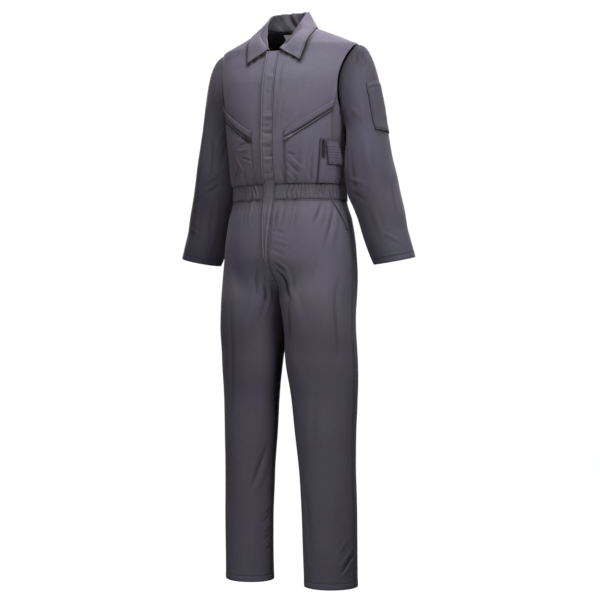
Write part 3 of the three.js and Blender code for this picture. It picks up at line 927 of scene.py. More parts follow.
    def _mesh(
        self, outer: np.ndarray, inner: np.ndarray, wear: np.ndarray, hollow: np.ndarray
    ) -> bpy.types.Object:
        """Joins the two faces of the shell into a closed mesh.

        Args:
            outer: points of the right side.
            inner: points of the wrong side.
            wear: how faded each point is.
            hollow: how dark each point is painted, as shade.

        Returns:
            The piece.
        """
        rows, columns = outer.shape[:2]
        count = rows * columns
        spans = columns if self.grid.closed else columns - 1
        j, i = np.meshgrid(np.arange(rows - 1), np.arange(spans), indexing="ij")
        a = j * columns + i
        b = (j + 1) * columns + i
        c = (j + 1) * columns + (i + 1) % columns
        d = j * columns + (i + 1) % columns
        faces = [np.stack([a, b, c, d], -1).reshape(-1, 4)]
        faces.append(np.stack([a, d, c, b], -1).reshape(-1, 4) + count)
        i = np.arange(spans)
        top, after = i, (i + 1) % columns
        low, low_after = (rows - 1) * columns + i, (rows - 1) * columns + (i + 1) % columns
        faces.append(np.stack([top, after, after + count, top + count], -1))
        faces.append(np.stack([low, low + count, low_after + count, low_after], -1))
        if not self.grid.closed:
            j = np.arange(rows - 1)
            left, left_below = j * columns, (j + 1) * columns
            right, right_below = left + columns - 1, left_below + columns - 1
            faces.append(np.stack([left, left + count, left_below + count, left_below], -1))
            faces.append(np.stack([right, right_below, right_below + count, right + count], -1))
        quads = np.concatenate(faces)
        if self.side is Side.RIGHT:
            quads = quads[:, ::-1]
        points = np.concatenate([outer.reshape(-1, 3), inner.reshape(-1, 3)]) * MM
        mesh = bpy.data.meshes.new(self.name)
        mesh.from_pydata(points.tolist(), [], quads.tolist())
        mesh.update()
        across, down = self.grid.run(1) * MM, self.grid.run(0) * MM
        flat = np.stack([across.ravel(), -down.ravel()], -1)
        flat = np.concatenate([flat, flat])
        layer = mesh.uv_layers.new(name="cut")
        layer.data.foreach_set("uv", flat[quads.ravel()].astype(np.float32).ravel())
        # The right side gets its wear and painted shade, the wrong side no wear and the painted inside shade
        for name, field_values, within in (("wear", wear, 0.0), ("hollow", hollow, self.inside_shade)):
            values = np.concatenate([field_values.ravel(), within + 0 * field_values.ravel()])
            mesh.attributes.new(name, "FLOAT", "POINT").data.foreach_set("value", values.astype(np.float32))
        mesh.shade_smooth()
        return add_object(self.name, mesh)

    def _declare(self, piece: bpy.types.Object) -> None:
        """Gives the piece its finish and its body, and hides the solids that it stands for.

        Args:
            piece: the piece.
        """
        piece.data.materials.append(self.finish.material())
        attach(piece, self.body)
        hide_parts(*((self.node,) if isinstance(self.node, str) else self.node))
        across = self.grid.run(1)[:, -1]
        down = self.grid.run(0)[-1, :]
        points = self.grid.points
        if self.grid.closed:
            across = across + np.linalg.norm(points[:, 0] - points[:, -1], axis=-1)
        u, v = np.gradient(points, axis=1), np.gradient(points, axis=0)
        cell = np.linalg.norm(np.cross(u, v), axis=-1)
        cell[[0, -1], :] *= 0.5
        if not self.grid.closed:
            cell[:, [0, -1]] *= 0.5


# Finishes


def linear(*screen: int) -> tuple[float, float, float, float]:
    """A screen colour as linear light.

    Args:
        *screen: red, green and blue, from 0 to 255.

    Returns:
        The colour, with an alpha of 1.
    """
    shares = [value / 255 for value in screen]
    light = [v / 12.92 if v <= 0.04045 else ((v + 0.055) / 1.055) ** 2.4 for v in shares]
    return (*light, 1.0)


def scaled(colour: Sequence[float], factor: float) -> tuple[float, float, float, float]:
    """A lighter or darker colour."""
    return tuple(min(c * factor, 1) for c in colour[:3]) + (1.0,)


Feed = float | Sequence[float] | bpy.types.NodeSocket


class Tree:
    """A small helper to write a node tree."""

    def __init__(self, tree: bpy.types.NodeTree) -> None:
        """Keeps the tree."""
        self.tree = tree

    def node(self, kind: str, **values: object) -> bpy.types.Node:
        """Adds a node.

        Args:
            kind: its type.
            **values: its properties and inputs, as in set.

        Returns:
            The node.
        """
        node = self.tree.nodes.new(kind)
        self.set(node, **values)
        return node

    def set(self, node: bpy.types.Node, **values: object) -> None:
        """Sets properties and inputs of a node.

        Args:
            node: the node.
            **values: its properties, and its inputs by name with spaces as underscores.
        """
        for key, value in values.items():
            if hasattr(node, key):
                setattr(node, key, value)
                continue
            name = key.replace("_", " ").lower()
            self.feed(value, next(s for s in node.inputs if s.name.lower() == name))

    def feed(self, value: Feed, target: bpy.types.NodeSocket) -> None:
        """Links a socket to an input, or sets the input's value.

        Args:
            value: the socket or the value.
            target: the input.
        """
        if isinstance(value, bpy.types.NodeSocket):
            self.tree.links.new(value, target)
        else:
            target.default_value = value

    def noise(self, place: bpy.types.NodeSocket, scale: float, detail: float) -> bpy.types.Node:
        """A noise texture."""
        return self.node("ShaderNodeTexNoise", Vector=place, Scale=scale, Detail=detail)

    def mix(self, factor: Feed, first: Feed, second: Feed, blend: str = "MIX") -> bpy.types.NodeSocket:
        """Mixes two colours.

        Args:
            factor: share of the second.
            first: a colour.
            second: a colour.
            blend: how they are mixed.

        Returns:
            The mixed colour.
        """
        node = self.node("ShaderNodeMix", data_type="RGBA", blend_type=blend)
        for index, value in ((0, factor), (6, first), (7, second)):
            self.feed(value, node.inputs[index])
        return node.outputs[2]


def new_material(name: str) -> tuple[bpy.types.Material, Tree, bpy.types.Node]:
    """A new material, its node tree and its shader.

    Args:
        name: its name.

    Returns:
        The three.
    """
    made = bpy.data.materials.new(name)
    made.use_nodes = True
    return made, Tree(made.node_tree), made.node_tree.nodes["Principled BSDF"]


@dataclass(frozen=True)
class Twill:
    """Worn twill: colour, weave, sheen, the fade along its edges, and painted shade in troughs, along seams
    and on shaded parts.
    """

    name: str
    colour: tuple[float, float, float, float]
    wear: tuple[float, float, float, float]
    # Share of the colour left where the painted shade is full
    painted_shade_share: float = 0.13
    roughness: float = 0.82
    sheen: float = 0.08
    specular: float = 0.22
    sheen_roughness: float = 0.45
    rib_pitch: float = 0.00055
    rib_lean: float = 27.0
    rib_height: float = 0.0001
    crumple_height: float = 0.0022
    depth: float = 0.35

    def material(self) -> bpy.types.Material:
        """The material, made once.

        Returns:
            The material.
        """
        made = bpy.data.materials.get(self.name)
        if made is not None:
            return made
        made, tree, shader = new_material(self.name)
        place = tree.node("ShaderNodeTexCoord").outputs["Object"]
        slow = tree.noise(place, 7.0, 3.0)
        # Mottle of the yarn and slow changes of shade
        yarn = tree.noise(place, 420.0, 3.0).outputs["Fac"]
        colour = tree.mix(yarn, scaled(self.colour, 0.86), scaled(self.colour, 1.12))
        colour = tree.mix(0.22, colour, slow.outputs["Color"], "MULTIPLY")
        # Wear along the edges, and painted shade: troughs, seam lines and shaded parts darkened towards a
        # share of the colour
        worn = tree.node("ShaderNodeAttribute", attribute_name="wear").outputs["Fac"]
        amount = tree.node("ShaderNodeMath", operation="MULTIPLY")
        tree.feed(worn, amount.inputs[0])
        tree.feed(tree.noise(place, 90.0, 4.0).outputs["Fac"], amount.inputs[1])
        colour = tree.mix(amount.outputs[0], colour, self.wear)
        deep = tree.node("ShaderNodeAttribute", attribute_name="hollow").outputs["Fac"]
        colour = tree.mix(deep, colour, scaled(self.colour, self.painted_shade_share))
        rough = tree.node("ShaderNodeMapRange", Value=slow.outputs["Fac"],
                          To_Min=self.roughness - 0.07, To_Max=self.roughness + 0.07)
        # Twill lines, on the cut of the piece, and the crumple of the cloth
        cut = tree.node("ShaderNodeUVMap", uv_map="cut").outputs["UV"]
        turn = tree.node("ShaderNodeMapping", Vector=cut, Rotation=(0, 0, math.radians(self.rib_lean)))
        lines = tree.node("ShaderNodeTexWave", Vector=turn.outputs["Vector"],
                          Scale=0.314 / self.rib_pitch / 10).outputs["Fac"]
        fine = tree.node("ShaderNodeBump", Height=lines, Strength=0.25, Distance=self.rib_height)
        soft = tree.node("ShaderNodeBump", Height=tree.noise(place, 48.0, 5.0).outputs["Fac"],
                         Normal=fine.outputs["Normal"], Strength=self.depth, Distance=self.crumple_height)
        tree.set(shader, Specular_IOR_Level=self.specular, Sheen_Weight=self.sheen,
                 Sheen_Roughness=self.sheen_roughness, Base_Color=colour, Roughness=rough.outputs["Result"],
                 Normal=soft.outputs["Normal"])
        return made


@dataclass(frozen=True)
class Metal:
    """A zip's metal or moulded coil, with fine scratches."""

    name: str
    colour: tuple[float, float, float, float]
    roughness: float = 0.28
    metallic: float = 1.0

    def material(self) -> bpy.types.Material:
        """The material, made once.

        Returns:
            The material.
        """
        made = bpy.data.materials.get(self.name)
        if made is not None:
            return made
        made, tree, shader = new_material(self.name)
        place = tree.node("ShaderNodeTexCoord").outputs["Object"]
        grain = tree.noise(place, 900.0, 4.0).outputs["Fac"]
        rough = tree.node("ShaderNodeMapRange", Value=grain, To_Min=self.roughness - 0.1,
                          To_Max=self.roughness + 0.15)
        bump = tree.node("ShaderNodeBump", Height=grain, Strength=0.12, Distance=0.0002)
        colour = tree.mix(grain, scaled(self.colour, 0.8), self.colour)
        tree.set(shader, Metallic=self.metallic, Base_Color=colour, Roughness=rough.outputs["Result"],
                 Normal=bump.outputs["Normal"])
        return made


SUIT_TWILL = Twill("suit_twill", linear(93, 89, 103), linear(118, 114, 128))
# A darker copy of the suit's twill: painted shade on the sleeves and the pen pocket
SHADED_SLEEVE_TWILL = Twill("sleeve_twill", linear(77, 74, 87), linear(100, 96, 109))
BAND_TWILL = Twill("band_twill", linear(90, 86, 99), linear(116, 112, 125))
TAPE_WEAVE = Twill("zip_tape_weave", linear(44, 42, 50), linear(62, 60, 68), sheen=0.1)
TAB_WEAVE = Twill("tab_weave", linear(246, 246, 248), linear(250, 250, 250), sheen=0.1, depth=0.1)
THREAD = Twill("thread", linear(56, 53, 61), linear(70, 67, 76), sheen=0.2, depth=0.1)
NICKEL = Metal("bright_nickel", linear(118, 119, 126), 0.42)
COIL = Metal("zip_coil", linear(112, 110, 118), 0.42, 0.0)


# What repeats along a path


class PathRepeater:
    """A node tree that lays copies of a small shape along paths, facing off the cloth."""

    def __init__(self) -> None:
        """Builds the tree."""
        tree = bpy.data.node_groups.new("repeat_along_path", "GeometryNodeTree")
        face = tree.interface
        given = {"Geometry": "Geometry", "Shape": "Object", "Pitch": "Float", "Spread": "Float",
                 "Seed": "Int", "Finish": "Material"}
        for name, kind in given.items():
            face.new_socket(name, in_out="INPUT", socket_type=f"NodeSocket{kind}")
        face.new_socket("Geometry", in_out="OUTPUT", socket_type="NodeSocketGeometry")
        make = Tree(tree)
        given = make.node("NodeGroupInput").outputs
        curve = make.node("GeometryNodeMeshToCurve", Mesh=given["Geometry"])
        even = make.node("GeometryNodeResampleCurve", mode="LENGTH", Curve=curve.outputs["Curve"])
        make.feed(given["Pitch"], even.inputs["Length"])
        up = make.node("GeometryNodeInputNamedAttribute", data_type="FLOAT_VECTOR", Name="up")
        tangent = make.node("GeometryNodeInputTangent")
        turn = make.node("FunctionNodeAxesToRotation", primary_axis="Z", secondary_axis="X")
        make.feed(up.outputs["Attribute"], turn.inputs["Primary Axis"])
        make.feed(tangent.outputs["Tangent"], turn.inputs["Secondary Axis"])
        shape = make.node("GeometryNodeObjectInfo", Object=given["Shape"])
        least = make.node("ShaderNodeMath", operation="SUBTRACT")
        least.inputs[0].default_value = 1.0
        make.feed(given["Spread"], least.inputs[1])
        size = make.node("FunctionNodeRandomValue", data_type="FLOAT", Seed=given["Seed"])
        make.feed(least.outputs[0], size.inputs[2])
        size.inputs[3].default_value = 1.0
        copies = make.node("GeometryNodeInstanceOnPoints", Points=even.outputs["Curve"])
        make.feed(shape.outputs["Geometry"], copies.inputs["Instance"])
        make.feed(turn.outputs["Rotation"], copies.inputs["Rotation"])
        make.feed(size.outputs[1], copies.inputs["Scale"])
        real = make.node("GeometryNodeRealizeInstances", Geometry=copies.outputs["Instances"])
        dress = make.node("GeometryNodeSetMaterial", Geometry=real.outputs["Geometry"])
        make.feed(given["Finish"], dress.inputs["Material"])
        out = make.node("NodeGroupOutput")
        make.feed(dress.outputs["Geometry"], out.inputs["Geometry"])
        self.tree = tree

    def lay(
        self,
        name: str,
        paths: Sequence[tuple[np.ndarray, np.ndarray]],
        shape: bpy.types.Object,
        pitch: float,
        finish: Twill | Metal,
        spread: float = 0.0,
        seed: int = 3,
    ) -> bpy.types.Object:
        """Lays copies along paths and turns them into one plain mesh.

        Args:
            name: name of the result.
            paths: points and outward directions of each path, in millimetres.
            shape: what is repeated, along X and standing up along Z.
            pitch: spacing, in millimetres.
            finish: its material.
            spread: how much smaller a copy may be.
            seed: for the random sizes.

        Returns:
            The mesh object.
        """
        points = np.concatenate([line for line, _ in paths]) * MM
        up = np.concatenate([facing for _, facing in paths])
        edges, first = [], 0
        for line, _ in paths:
            edges += [(first + k, first + k + 1) for k in range(len(line) - 1)]
            first += len(line)
        mesh = bpy.data.meshes.new(f"{name}_path")
        mesh.from_pydata(points.tolist(), edges, [])
        layer = mesh.attributes.new("up", "FLOAT_VECTOR", "POINT")
        layer.data.foreach_set("vector", up.astype(np.float32).ravel())
        path = add_object(f"{name}_path", mesh)
        modifier = path.modifiers.new("repeat", "NODES")
        modifier.node_group = self.tree
        values = {"Shape": shape, "Pitch": pitch * MM, "Spread": spread, "Seed": seed,
                  "Finish": finish.material()}
        for item in self.tree.interface.items_tree:
            if item.in_out == "INPUT" and item.name in values:
                modifier[item.identifier] = values[item.name]
        graph = bpy.context.evaluated_depsgraph_get()
        made = bpy.data.meshes.new_from_object(path.evaluated_get(graph))
        made.name = name
        result = add_object(name, made)
        if not made.materials:
            made.materials.append(finish.material())
        bpy.data.objects.remove(path)
        return result


def small_shape(
    name: str, sections: Sequence[tuple[float, float, float]], sides: int, turned: float = 0.0
) -> bpy.types.Object:
    """A short closed rod along X, to be repeated.

    Args:
        name: its name.
        sections: place along X, radius and height of its centre of each ring, in millimetres.
        sides: sides of a ring.
        turned: degrees that it is turned about Z.

    Returns:
        The object.
    """
    points, faces = [], []
    for x, radius, height in sections:
        for k in range(sides):
            turn = 2 * math.pi * k / sides
            points.append((x * MM, radius * MM * math.cos(turn), (height + radius * math.sin(turn)) * MM))
    for j in range(len(sections) - 1):
        for k in range(sides):
            after = (k + 1) % sides
            faces.append((j * sides + k, j * sides + after, (j + 1) * sides + after, (j + 1) * sides + k))
    faces.append(tuple(reversed(range(sides))))
    faces.append(tuple(range((len(sections) - 1) * sides, len(sections) * sides)))
    mesh = bpy.data.meshes.new(name)
    mesh.from_pydata(points, [], [face[::-1] for face in faces])
    mesh.transform(Matrix.Rotation(math.radians(turned), 4, "Z"))
    mesh.shade_smooth()
    return add_object(name, mesh)


@dataclass
class Sewing:
    """Collects lines of stitches and lays the thread."""

    name: str
    pitch: float = 3.4
    stitch: float = 2.5
    radius: float = 0.42
    paths: list[tuple[np.ndarray, np.ndarray]] = field(default_factory=list)

    def add(self, line: np.ndarray, up: np.ndarray) -> None:
        """Adds one line of stitches."""
        self.paths.append((line, up))

    def build(self, repeater: PathRepeater) -> bpy.types.Object:
        """Lays the thread.

        Args:
            repeater: the tree that lays it.

        Returns:
            The stitches as one mesh.
        """
        half = self.stitch / 2
        sections = [(-half, 0.1, -0.25), (-half * 0.6, self.radius, 0.12), (half * 0.6, self.radius, 0.12),
                    (half, 0.1, -0.25)]
        shape = small_shape(f"{self.name}_one", sections, 4)
        piece = repeater.lay(self.name, self.paths, shape, self.pitch, THREAD, spread=0.2, seed=11)
        bpy.data.objects.remove(shape)
        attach(piece, "suit")
        log.info("%s: %d lines, %d faces", self.name, len(self.paths), len(piece.data.polygons))
        return piece


# Relief of the suit

# Each row: angle and height of the start and of the end, width, height (a trough below 0) and bow
TRUNK_CREASES = [
    # From the collar and down the chest
    (2.3, -88, -1.7, -132, 4, 1.4),
    (8, -95, 6.7, -180, 5, -1.1),
    (8.7, -196, 5.7, -288, 5, 1.3),
    (25.7, -232, 16.7, -274, 6, 1.1),
    # Beside the armholes
    (-63, -128, -58, -232, 7, -2.2),
    (-48.3, -150, -50, -236, 6, 1.7),
    (63, -132, 56, -236, 7, 1.5),
    # Pulls towards the flap, below the right zip
    (-28.7, -319, -14, -311, 3.4, -1.5),
    (-33.3, -332, -16, -329, 3.4, 1.7),
    (-27.7, -348, -15, -362, 3.6, -1.7),
    (-36.3, -344, -27, -385, 4, 2.0),
    (-29, -365, -48, -419, 4, -2.1),
    (-23.3, -374, -37, -427, 4, 2.1),
    (-16, -354, -15.3, -430, 3.4, 1.7),
    # Below the left zip
    (15, -343, 24.7, -352, 3.6, -1.7),
    (16, -365, 29, -400, 4, -2.1),
    (19.7, -359, 34, -392, 4, 1.8),
    (15.3, -394, 23.7, -418, 3.6, 1.7),
    (34, -312, 30.7, -423, 8, 2.1),
    (42, -339, 40.3, -429, 6, -1.5),
    # Sides
    (78, -424, 72, -340, 7, 2.4, 3),
    (-78, -424, -70, -330, 7, 2.4, -3),
    (88, -250, 102, -330, 10, 2.8, 4),
    (-88, -250, -104, -330, 10, 2.8, -4),
    # Back: shoulder blades, hollow of the back, blousing above the waist
    (124, -130, 144, -222, 9, 2.7, 5),
    (-124, -130, -144, -222, 9, 2.7, -5),
    (130, -186, 150, -268, 8, -2.2, 4),
    (-130, -186, -150, -268, 8, -2.2, -4),
    (168, -128, 172, -210, 10, 2.0, 2),
    (192, -132, 187, -218, 10, -1.7, -2),
    (112, -424, 116, -352, 7, -2.1, 3),
    (128, -424, 124, -366, 6, 2.1, -2),
    (150, -424, 146, -330, 8, 2.8, -3),
    (168, -424, 166, -350, 7, 2.4, 2),
    (186, -424, 189, -338, 8, 2.7, -2),
    (206, -424, 209, -352, 7, 2.4, 3),
    (224, -424, 228, -330, 8, 2.7, 2),
    (242, -424, 240, -362, 7, -2.0, 2),
]
SLEEVE_CREASES = [
    # Under the arm and behind it, on both sleeves
    (-150, 0.5, -112, 1.5, 9, 2.4, 8),
    (-165, 0.8, -124, 1.9, 8, -2.2, 8),
    (150, 0.5, 104, 1.6, 10, 2.8, -8),
    (34, 0.05, 40, 0.7, 9, 1.7, 5),
    (70, 0.1, 84, 0.95, 9, -2.0, 5),
    (150, 2.4, 90, 2.8, 9, 2.7, -8),
    (130, 2.9, 74, 2.6, 8, -2.4, -6),
    (66, 3.0, 58, 4.3, 10, 2.0, -4),
    (26, 1.6, 30, 3.6, 13, 1.7, 6),
]
LEFT_SLEEVE_CREASES = [
    # Head of the sleeve and the pleats above the pen pocket
    (-18, 0.131, -37, 0.23, 5, 1.6),
    (-28, 0.131, -50, 0.307, 5, -1.4),
    (-20.5, 0.223, -44, 0.415, 5, -1.3),
    (-34.5, 0.43, -22, 0.33, 3, -1.8),
    (-18.5, 0.43, -16, 0.29, 3, 1.8),
    (-6, 0.43, -3, 0.3, 3, -1.8),
    # Arm, elbow and lower sleeve
    (-89.5, 0.73, -75.5, 0.937, 7, 1.5),
    (-59.5, 0.799, -63, 1.167, 6, 1.4),
    (-61, 1.497, -61.5, 2.465, 9, 1.7),
    (-96.5, 1.643, -101, 2.872, 8, -2.0),
    (-109, 2.35, -76, 2.642, 6, 2.1),
    (-114, 2.665, -88, 3.026, 6, -2.1),
    (-78.5, 3.187, -73.5, 4.124, 8, 1.7),
    (-6, 2.611, -25.5, 3.533, 7, -1.5),
    (-72, 3.917, -30, 4.247, 5, 1.5),
]
RIGHT_SLEEVE_CREASES = [
    (-69, 0.253, -87, 0.607, 5, -1.7),
    (-57.5, 0.491, -75, 0.822, 6, 1.5),
    (-76.5, 0.96, -78, 2.05, 8, 1.8),
    (-100.5, 1.137, -100, 2.15, 7, -1.8),
    (-118.5, 1.989, -86.5, 2.365, 5, 2.0),
    (-122, 2.319, -93, 2.68, 5, -2.0),
    (-82, 2.872, -86.5, 4.093, 7, 1.8),
    (-114.5, 2.964, -128, 4.124, 7, -1.7),
    (-53.5, 3.64, -104, 3.824, 4, 1.3),
]
LEG_CREASES = [
    # Seat and back of both legs
    (168, -660, 110, -760, 10, 3.1, -6),
    (160, -700, 104, -820, 10, -2.7, -6),
    (120, -640, 86, -720, 11, 2.2, -5),
    (150, -1010, 84, -1060, 11, 2.7, -8),
    (140, -1060, 76, -1100, 10, -2.5, -8),
    (100, -1150, 96, -1400, 14, 2.1, 4),
    (150, -474, 142, -560, 6, 2.2, -4),
    (110, -474, 104, -550, 6, 2.1, 4),
    (70, -474, 62, -560, 6, 2.0, -4),
    (30, -474, 26, -570, 7, -2.0, 4),
]
LEFT_LEG_CREASES = [
    # From the waistband
    (-156.5, -485, -167.5, -569, 4, 2.1),
    (-164, -482, -171, -542, 4, -1.8),
    (-131.5, -478, -141.5, -548, 4, 1.7),
    (-77.5, -482, -102, -537, 4.5, -2.8),
    (-67.5, -480, -95, -554, 4.5, 2.0),
    (-45, -480, -82.5, -597, 5, -2.8),
    (-35.5, -492, -70, -608, 5, 2.0),
    # Puckers beside the fly
    (-177, -552, -150, -560, 4.5, -1.1),
    (-177, -574, -146, -592, 4.5, 1.3),
    (-177, -600, -152, -622, 4.5, -1.0),
    # From the end of the fly
    (-173, -639, -144, -672, 4, -2.4),
    (-171, -631, -149, -656, 4, 2.0),
    (-175, -653, -106.5, -737, 6, -4.8),
    (-152.5, -655, -98, -742, 7, 2.5),
    (-180, -668, -145.5, -758, 4.5, 3.9),
    (-109.5, -742, -122, -864, 9, -2.8),
    # Thigh, side seam, shin and hem
    (-110.5, -640, -87.5, -822, 14, 1.8),
    (-40.5, -662, -36, -903, 9, -1.8),
    (-21.5, -661, 8, -637, 4, 1.7),
    (-80.5, -957, -106, -1203, 13, 1.7),
    (-117.5, -1231, -105, -1447, 10, -2.0),
    (-28, -1394, -44.5, -1423, 4, 1.7),
    (-11.5, -1418, -43, -1463, 4.5, 2.2),
    (-4, -1431, -41.5, -1483, 4.5, -3.1),
    (-12, -1448, -39, -1488, 4.5, 2.2),
]
RIGHT_LEG_CREASES = [
    # From the waistband
    (-143.5, -480, -144.5, -539, 4, 1.8),
    (-126, -476, -128, -528, 4, -1.8),
    (-106, -480, -110.5, -555, 4, 1.7),
    # From the end of the fly
    (-164.5, -663, -129, -802, 5, 3.1),
    (-165.5, -674, -132, -747, 4, -2.8),
    (-159.5, -655, -114.5, -742, 5, -2.1),
    (-174, -665, -141, -753, 4, 2.8),
    # Thigh, shin and the puckered inner seam
    (-134.5, -654, -94.5, -866, 12, 1.7),
    (-79, -742, -67, -1076, 9, -1.7),
    (-153.5, -1142, -116.5, -1269, 6, -2.7),
    (-164.5, -1165, -131, -1275, 7, 1.8),
    (-173.5, -1312, -150, -1332, 4, 1.8),
    (-174.5, -1337, -147.5, -1362, 4, -1.8),
    (-175, -1365, -150, -1385, 4, 1.8),
    (-175, -1394, -150, -1411, 4, -1.7),
    (-174.5, -1416, -153, -1433, 4, 1.7),
]
OWN_CREASES = {
    Side.LEFT: (LEFT_SLEEVE_CREASES, LEFT_LEG_CREASES),
    Side.RIGHT: (RIGHT_SLEEVE_CREASES, RIGHT_LEG_CREASES),
}


def waist_waves(angle: np.ndarray, z: np.ndarray) -> np.ndarray:
    """Soft folds that the elastic waistband sends up and down the cloth.

    Args:
        angle: degrees round the trunk.
        z: heights.

    Returns:
        Heights of the folds.
    """
    key = np.stack([angle, 0 * z, 0 * z], axis=-1)
    drift = lattice_noise(key, (26, 1, 1), 41)
    wave = np.cos(np.radians(26 * angle + 110 * drift))
    strength = 0.7 + 0.5 * lattice_noise(key, (17, 1, 1), 42)
    above = np.exp(-np.maximum(z - CUT.bodice_hem, 0) / 30)
    # Short slanted wrinkles crumple the cloth just above the band
    slant = np.stack([angle + 0.16 * z, 0.16 * z, 0 * z], axis=-1)
    crumple = 0.9 * lattice_noise(slant, (3.4, 9, 1), 43) * np.exp(-np.maximum(z - CUT.bodice_hem, 0) / 48)
    below = np.exp(-np.maximum(CUT.band_hem - z, 0) / 34)
    plain = smooth(np.abs((angle + 180) % 360 - 180), 9, 17)
    return (1.5 * wave * strength * np.minimum(above, below) + crumple * smooth(z, -430, -420)) * plain


def reliefs() -> dict[str, Relief]:
    """The relief of the trunk, the sleeves and the legs.

    Returns:
        Reliefs by name.
    """
    trunk = Relief(1.4, (62, 62, 120), 5)
    trunk.place(trunk_point, Side.LEFT, TRUNK_CREASES)
    made = {"trunk": trunk}
    for side, seed in ((Side.LEFT, 21), (Side.RIGHT, 33)):
        of_sleeve, of_leg = OWN_CREASES[side]
        sleeve = Relief(1.5, (64, 64, 130), seed)
        sleeve.place(sleeve_point, side, SLEEVE_CREASES + of_sleeve)
        leg = Relief(1.6, (70, 70, 190), seed + 50)
        leg.place(leg_point, side, LEG_CREASES + of_leg)
        made[f"sleeve_{side.name}"] = sleeve
        made[f"leg_{side.name}"] = leg
    return made


# Sub-assemblies


def facing_angle(points: np.ndarray) -> np.ndarray:
    """Bearing of each point from the suit's middle, 0 at the front and 90 on the left."""
    return np.degrees(np.arctan2(points[..., 0], -points[..., 1]))


def neck_angle(z: np.ndarray) -> np.ndarray:
    """Where the front neckline crosses each height, 0 below the pit of the neck."""
    share = np.clip((z - CUT.neck_pit) / (CUT.neck_top - CUT.neck_pit), 0, 1)
    return np.where(z > CUT.neck_pit, angle_at(CUT.neck_half * share**CUT.neck_curve, z), 0)


@dataclass
class Bodice:
    """The two fronts and the back."""

    sewing: Sewing
    relief: Relief
    collar_edge: np.ndarray
    step: float = 3.2
    yoke: float = -118.0
    inset: float = float(np.degrees(CUT.seam_gap / 2 / 150))

    def heights(self, top: float) -> np.ndarray:
        """Heights of the rows, closer together on the shoulders and by the waist.

        Args:
            top: height of the first row.

        Returns:
            Falling heights.
        """
        shoulder = top - (top - CUT.shoulder_tip) * np.linspace(0, 1, 34) ** 0.9
        chest = np.arange(CUT.shoulder_tip - self.step, CUT.bodice_hem + 11, -self.step)
        hem = CUT.bodice_hem + np.array([9.5, 8, 6.8, 6, 5.2, 4.2, 2.4, 0.9, 0.15])
        return np.concatenate([shoulder, chest, hem])

    def build(self) -> None:
        """Makes the three panels."""
        self._fronts()
        self._back()

    def _fronts(self) -> None:
        """Makes the two fronts, with a painted shadow where the collar's edge lies over them."""
        z = self.heights(CUT.front_neck - CUT.seam_gap / 2)
        start = neck_angle(z) + self.inset
        end = 90 - bite(z, CUT.bite_front) - self.inset
        grid = grid_on(trunk_point, start, end, z, spaced(190, self.step))
        waves = waist_waves(facing_angle(grid.points), grid.points[..., 2])
        # Painted shadow of the collar: the fronts darken in a band just outside its edge
        away = np.full(grid.points.shape[:2], 1e9)
        for spot in self.collar_edge:
            away = np.minimum(away, np.linalg.norm(grid.points - spot, axis=-1))
        below = 0.9 * np.exp(-((np.maximum(away - 5.5, 0) / 5.5) ** 2)) * smooth(-grid.points[..., 2], 5, 40)
        for side in Side:
            # Painted shade along the armhole, deep on the left front and faint on the right
            edge_shade = 0.8 if side is Side.LEFT else 0.15
            seams = [Seam(Edge.LAST, 7, 0.1, 0.4, 14, end=0.62, sewn=False, edge_shade=edge_shade),
                     Seam(Edge.BOTTOM, 5, 0.5, 0.5, 9)]
            name = f"front_{side.name.lower()}"
            Cloth(f"{name}_cloth", grid, name, SUIT_TWILL, self.relief, side, seams=seams, waves=waves,
                  shade=below, inside_shade=1.0, rests_on=["collar"]).build(self.sewing)

    def _back(self) -> None:
        """Makes the back, with the yoke's lapped edge."""
        z = self.heights(CUT.neck_top - CUT.seam_gap / 2)
        start = 90 + bite(z, CUT.bite_back) + self.inset
        grid = grid_on(trunk_point, start, 360 - start, z, spaced(420, 4.6))
        bearing = 180 - np.degrees(np.arctan2(grid.points[..., 0], grid.points[..., 1]))
        waves = waist_waves(bearing, grid.points[..., 2])
        # The yoke's edge laps over the panel below it
        waves = waves + 0.9 * smooth(grid.points[..., 2], self.yoke - 1.5, self.yoke + 1.5)
        waves -= 0.5 * np.exp(-(((grid.points[..., 2] - self.yoke - 6) / 1.8) ** 2))
        seams = [Seam(Edge.BOTTOM, 5, 0.5, 0.5, 9), *sewn(SIDES, 7, 0.7, 0.4, 14, start=0.1, end=0.62)]
        Cloth("back_cloth", grid, "back", SUIT_TWILL, self.relief, Side.LEFT, seams=seams, waves=waves,
              inside_shade=1.0, rests_on=["collar"]).build(self.sewing)


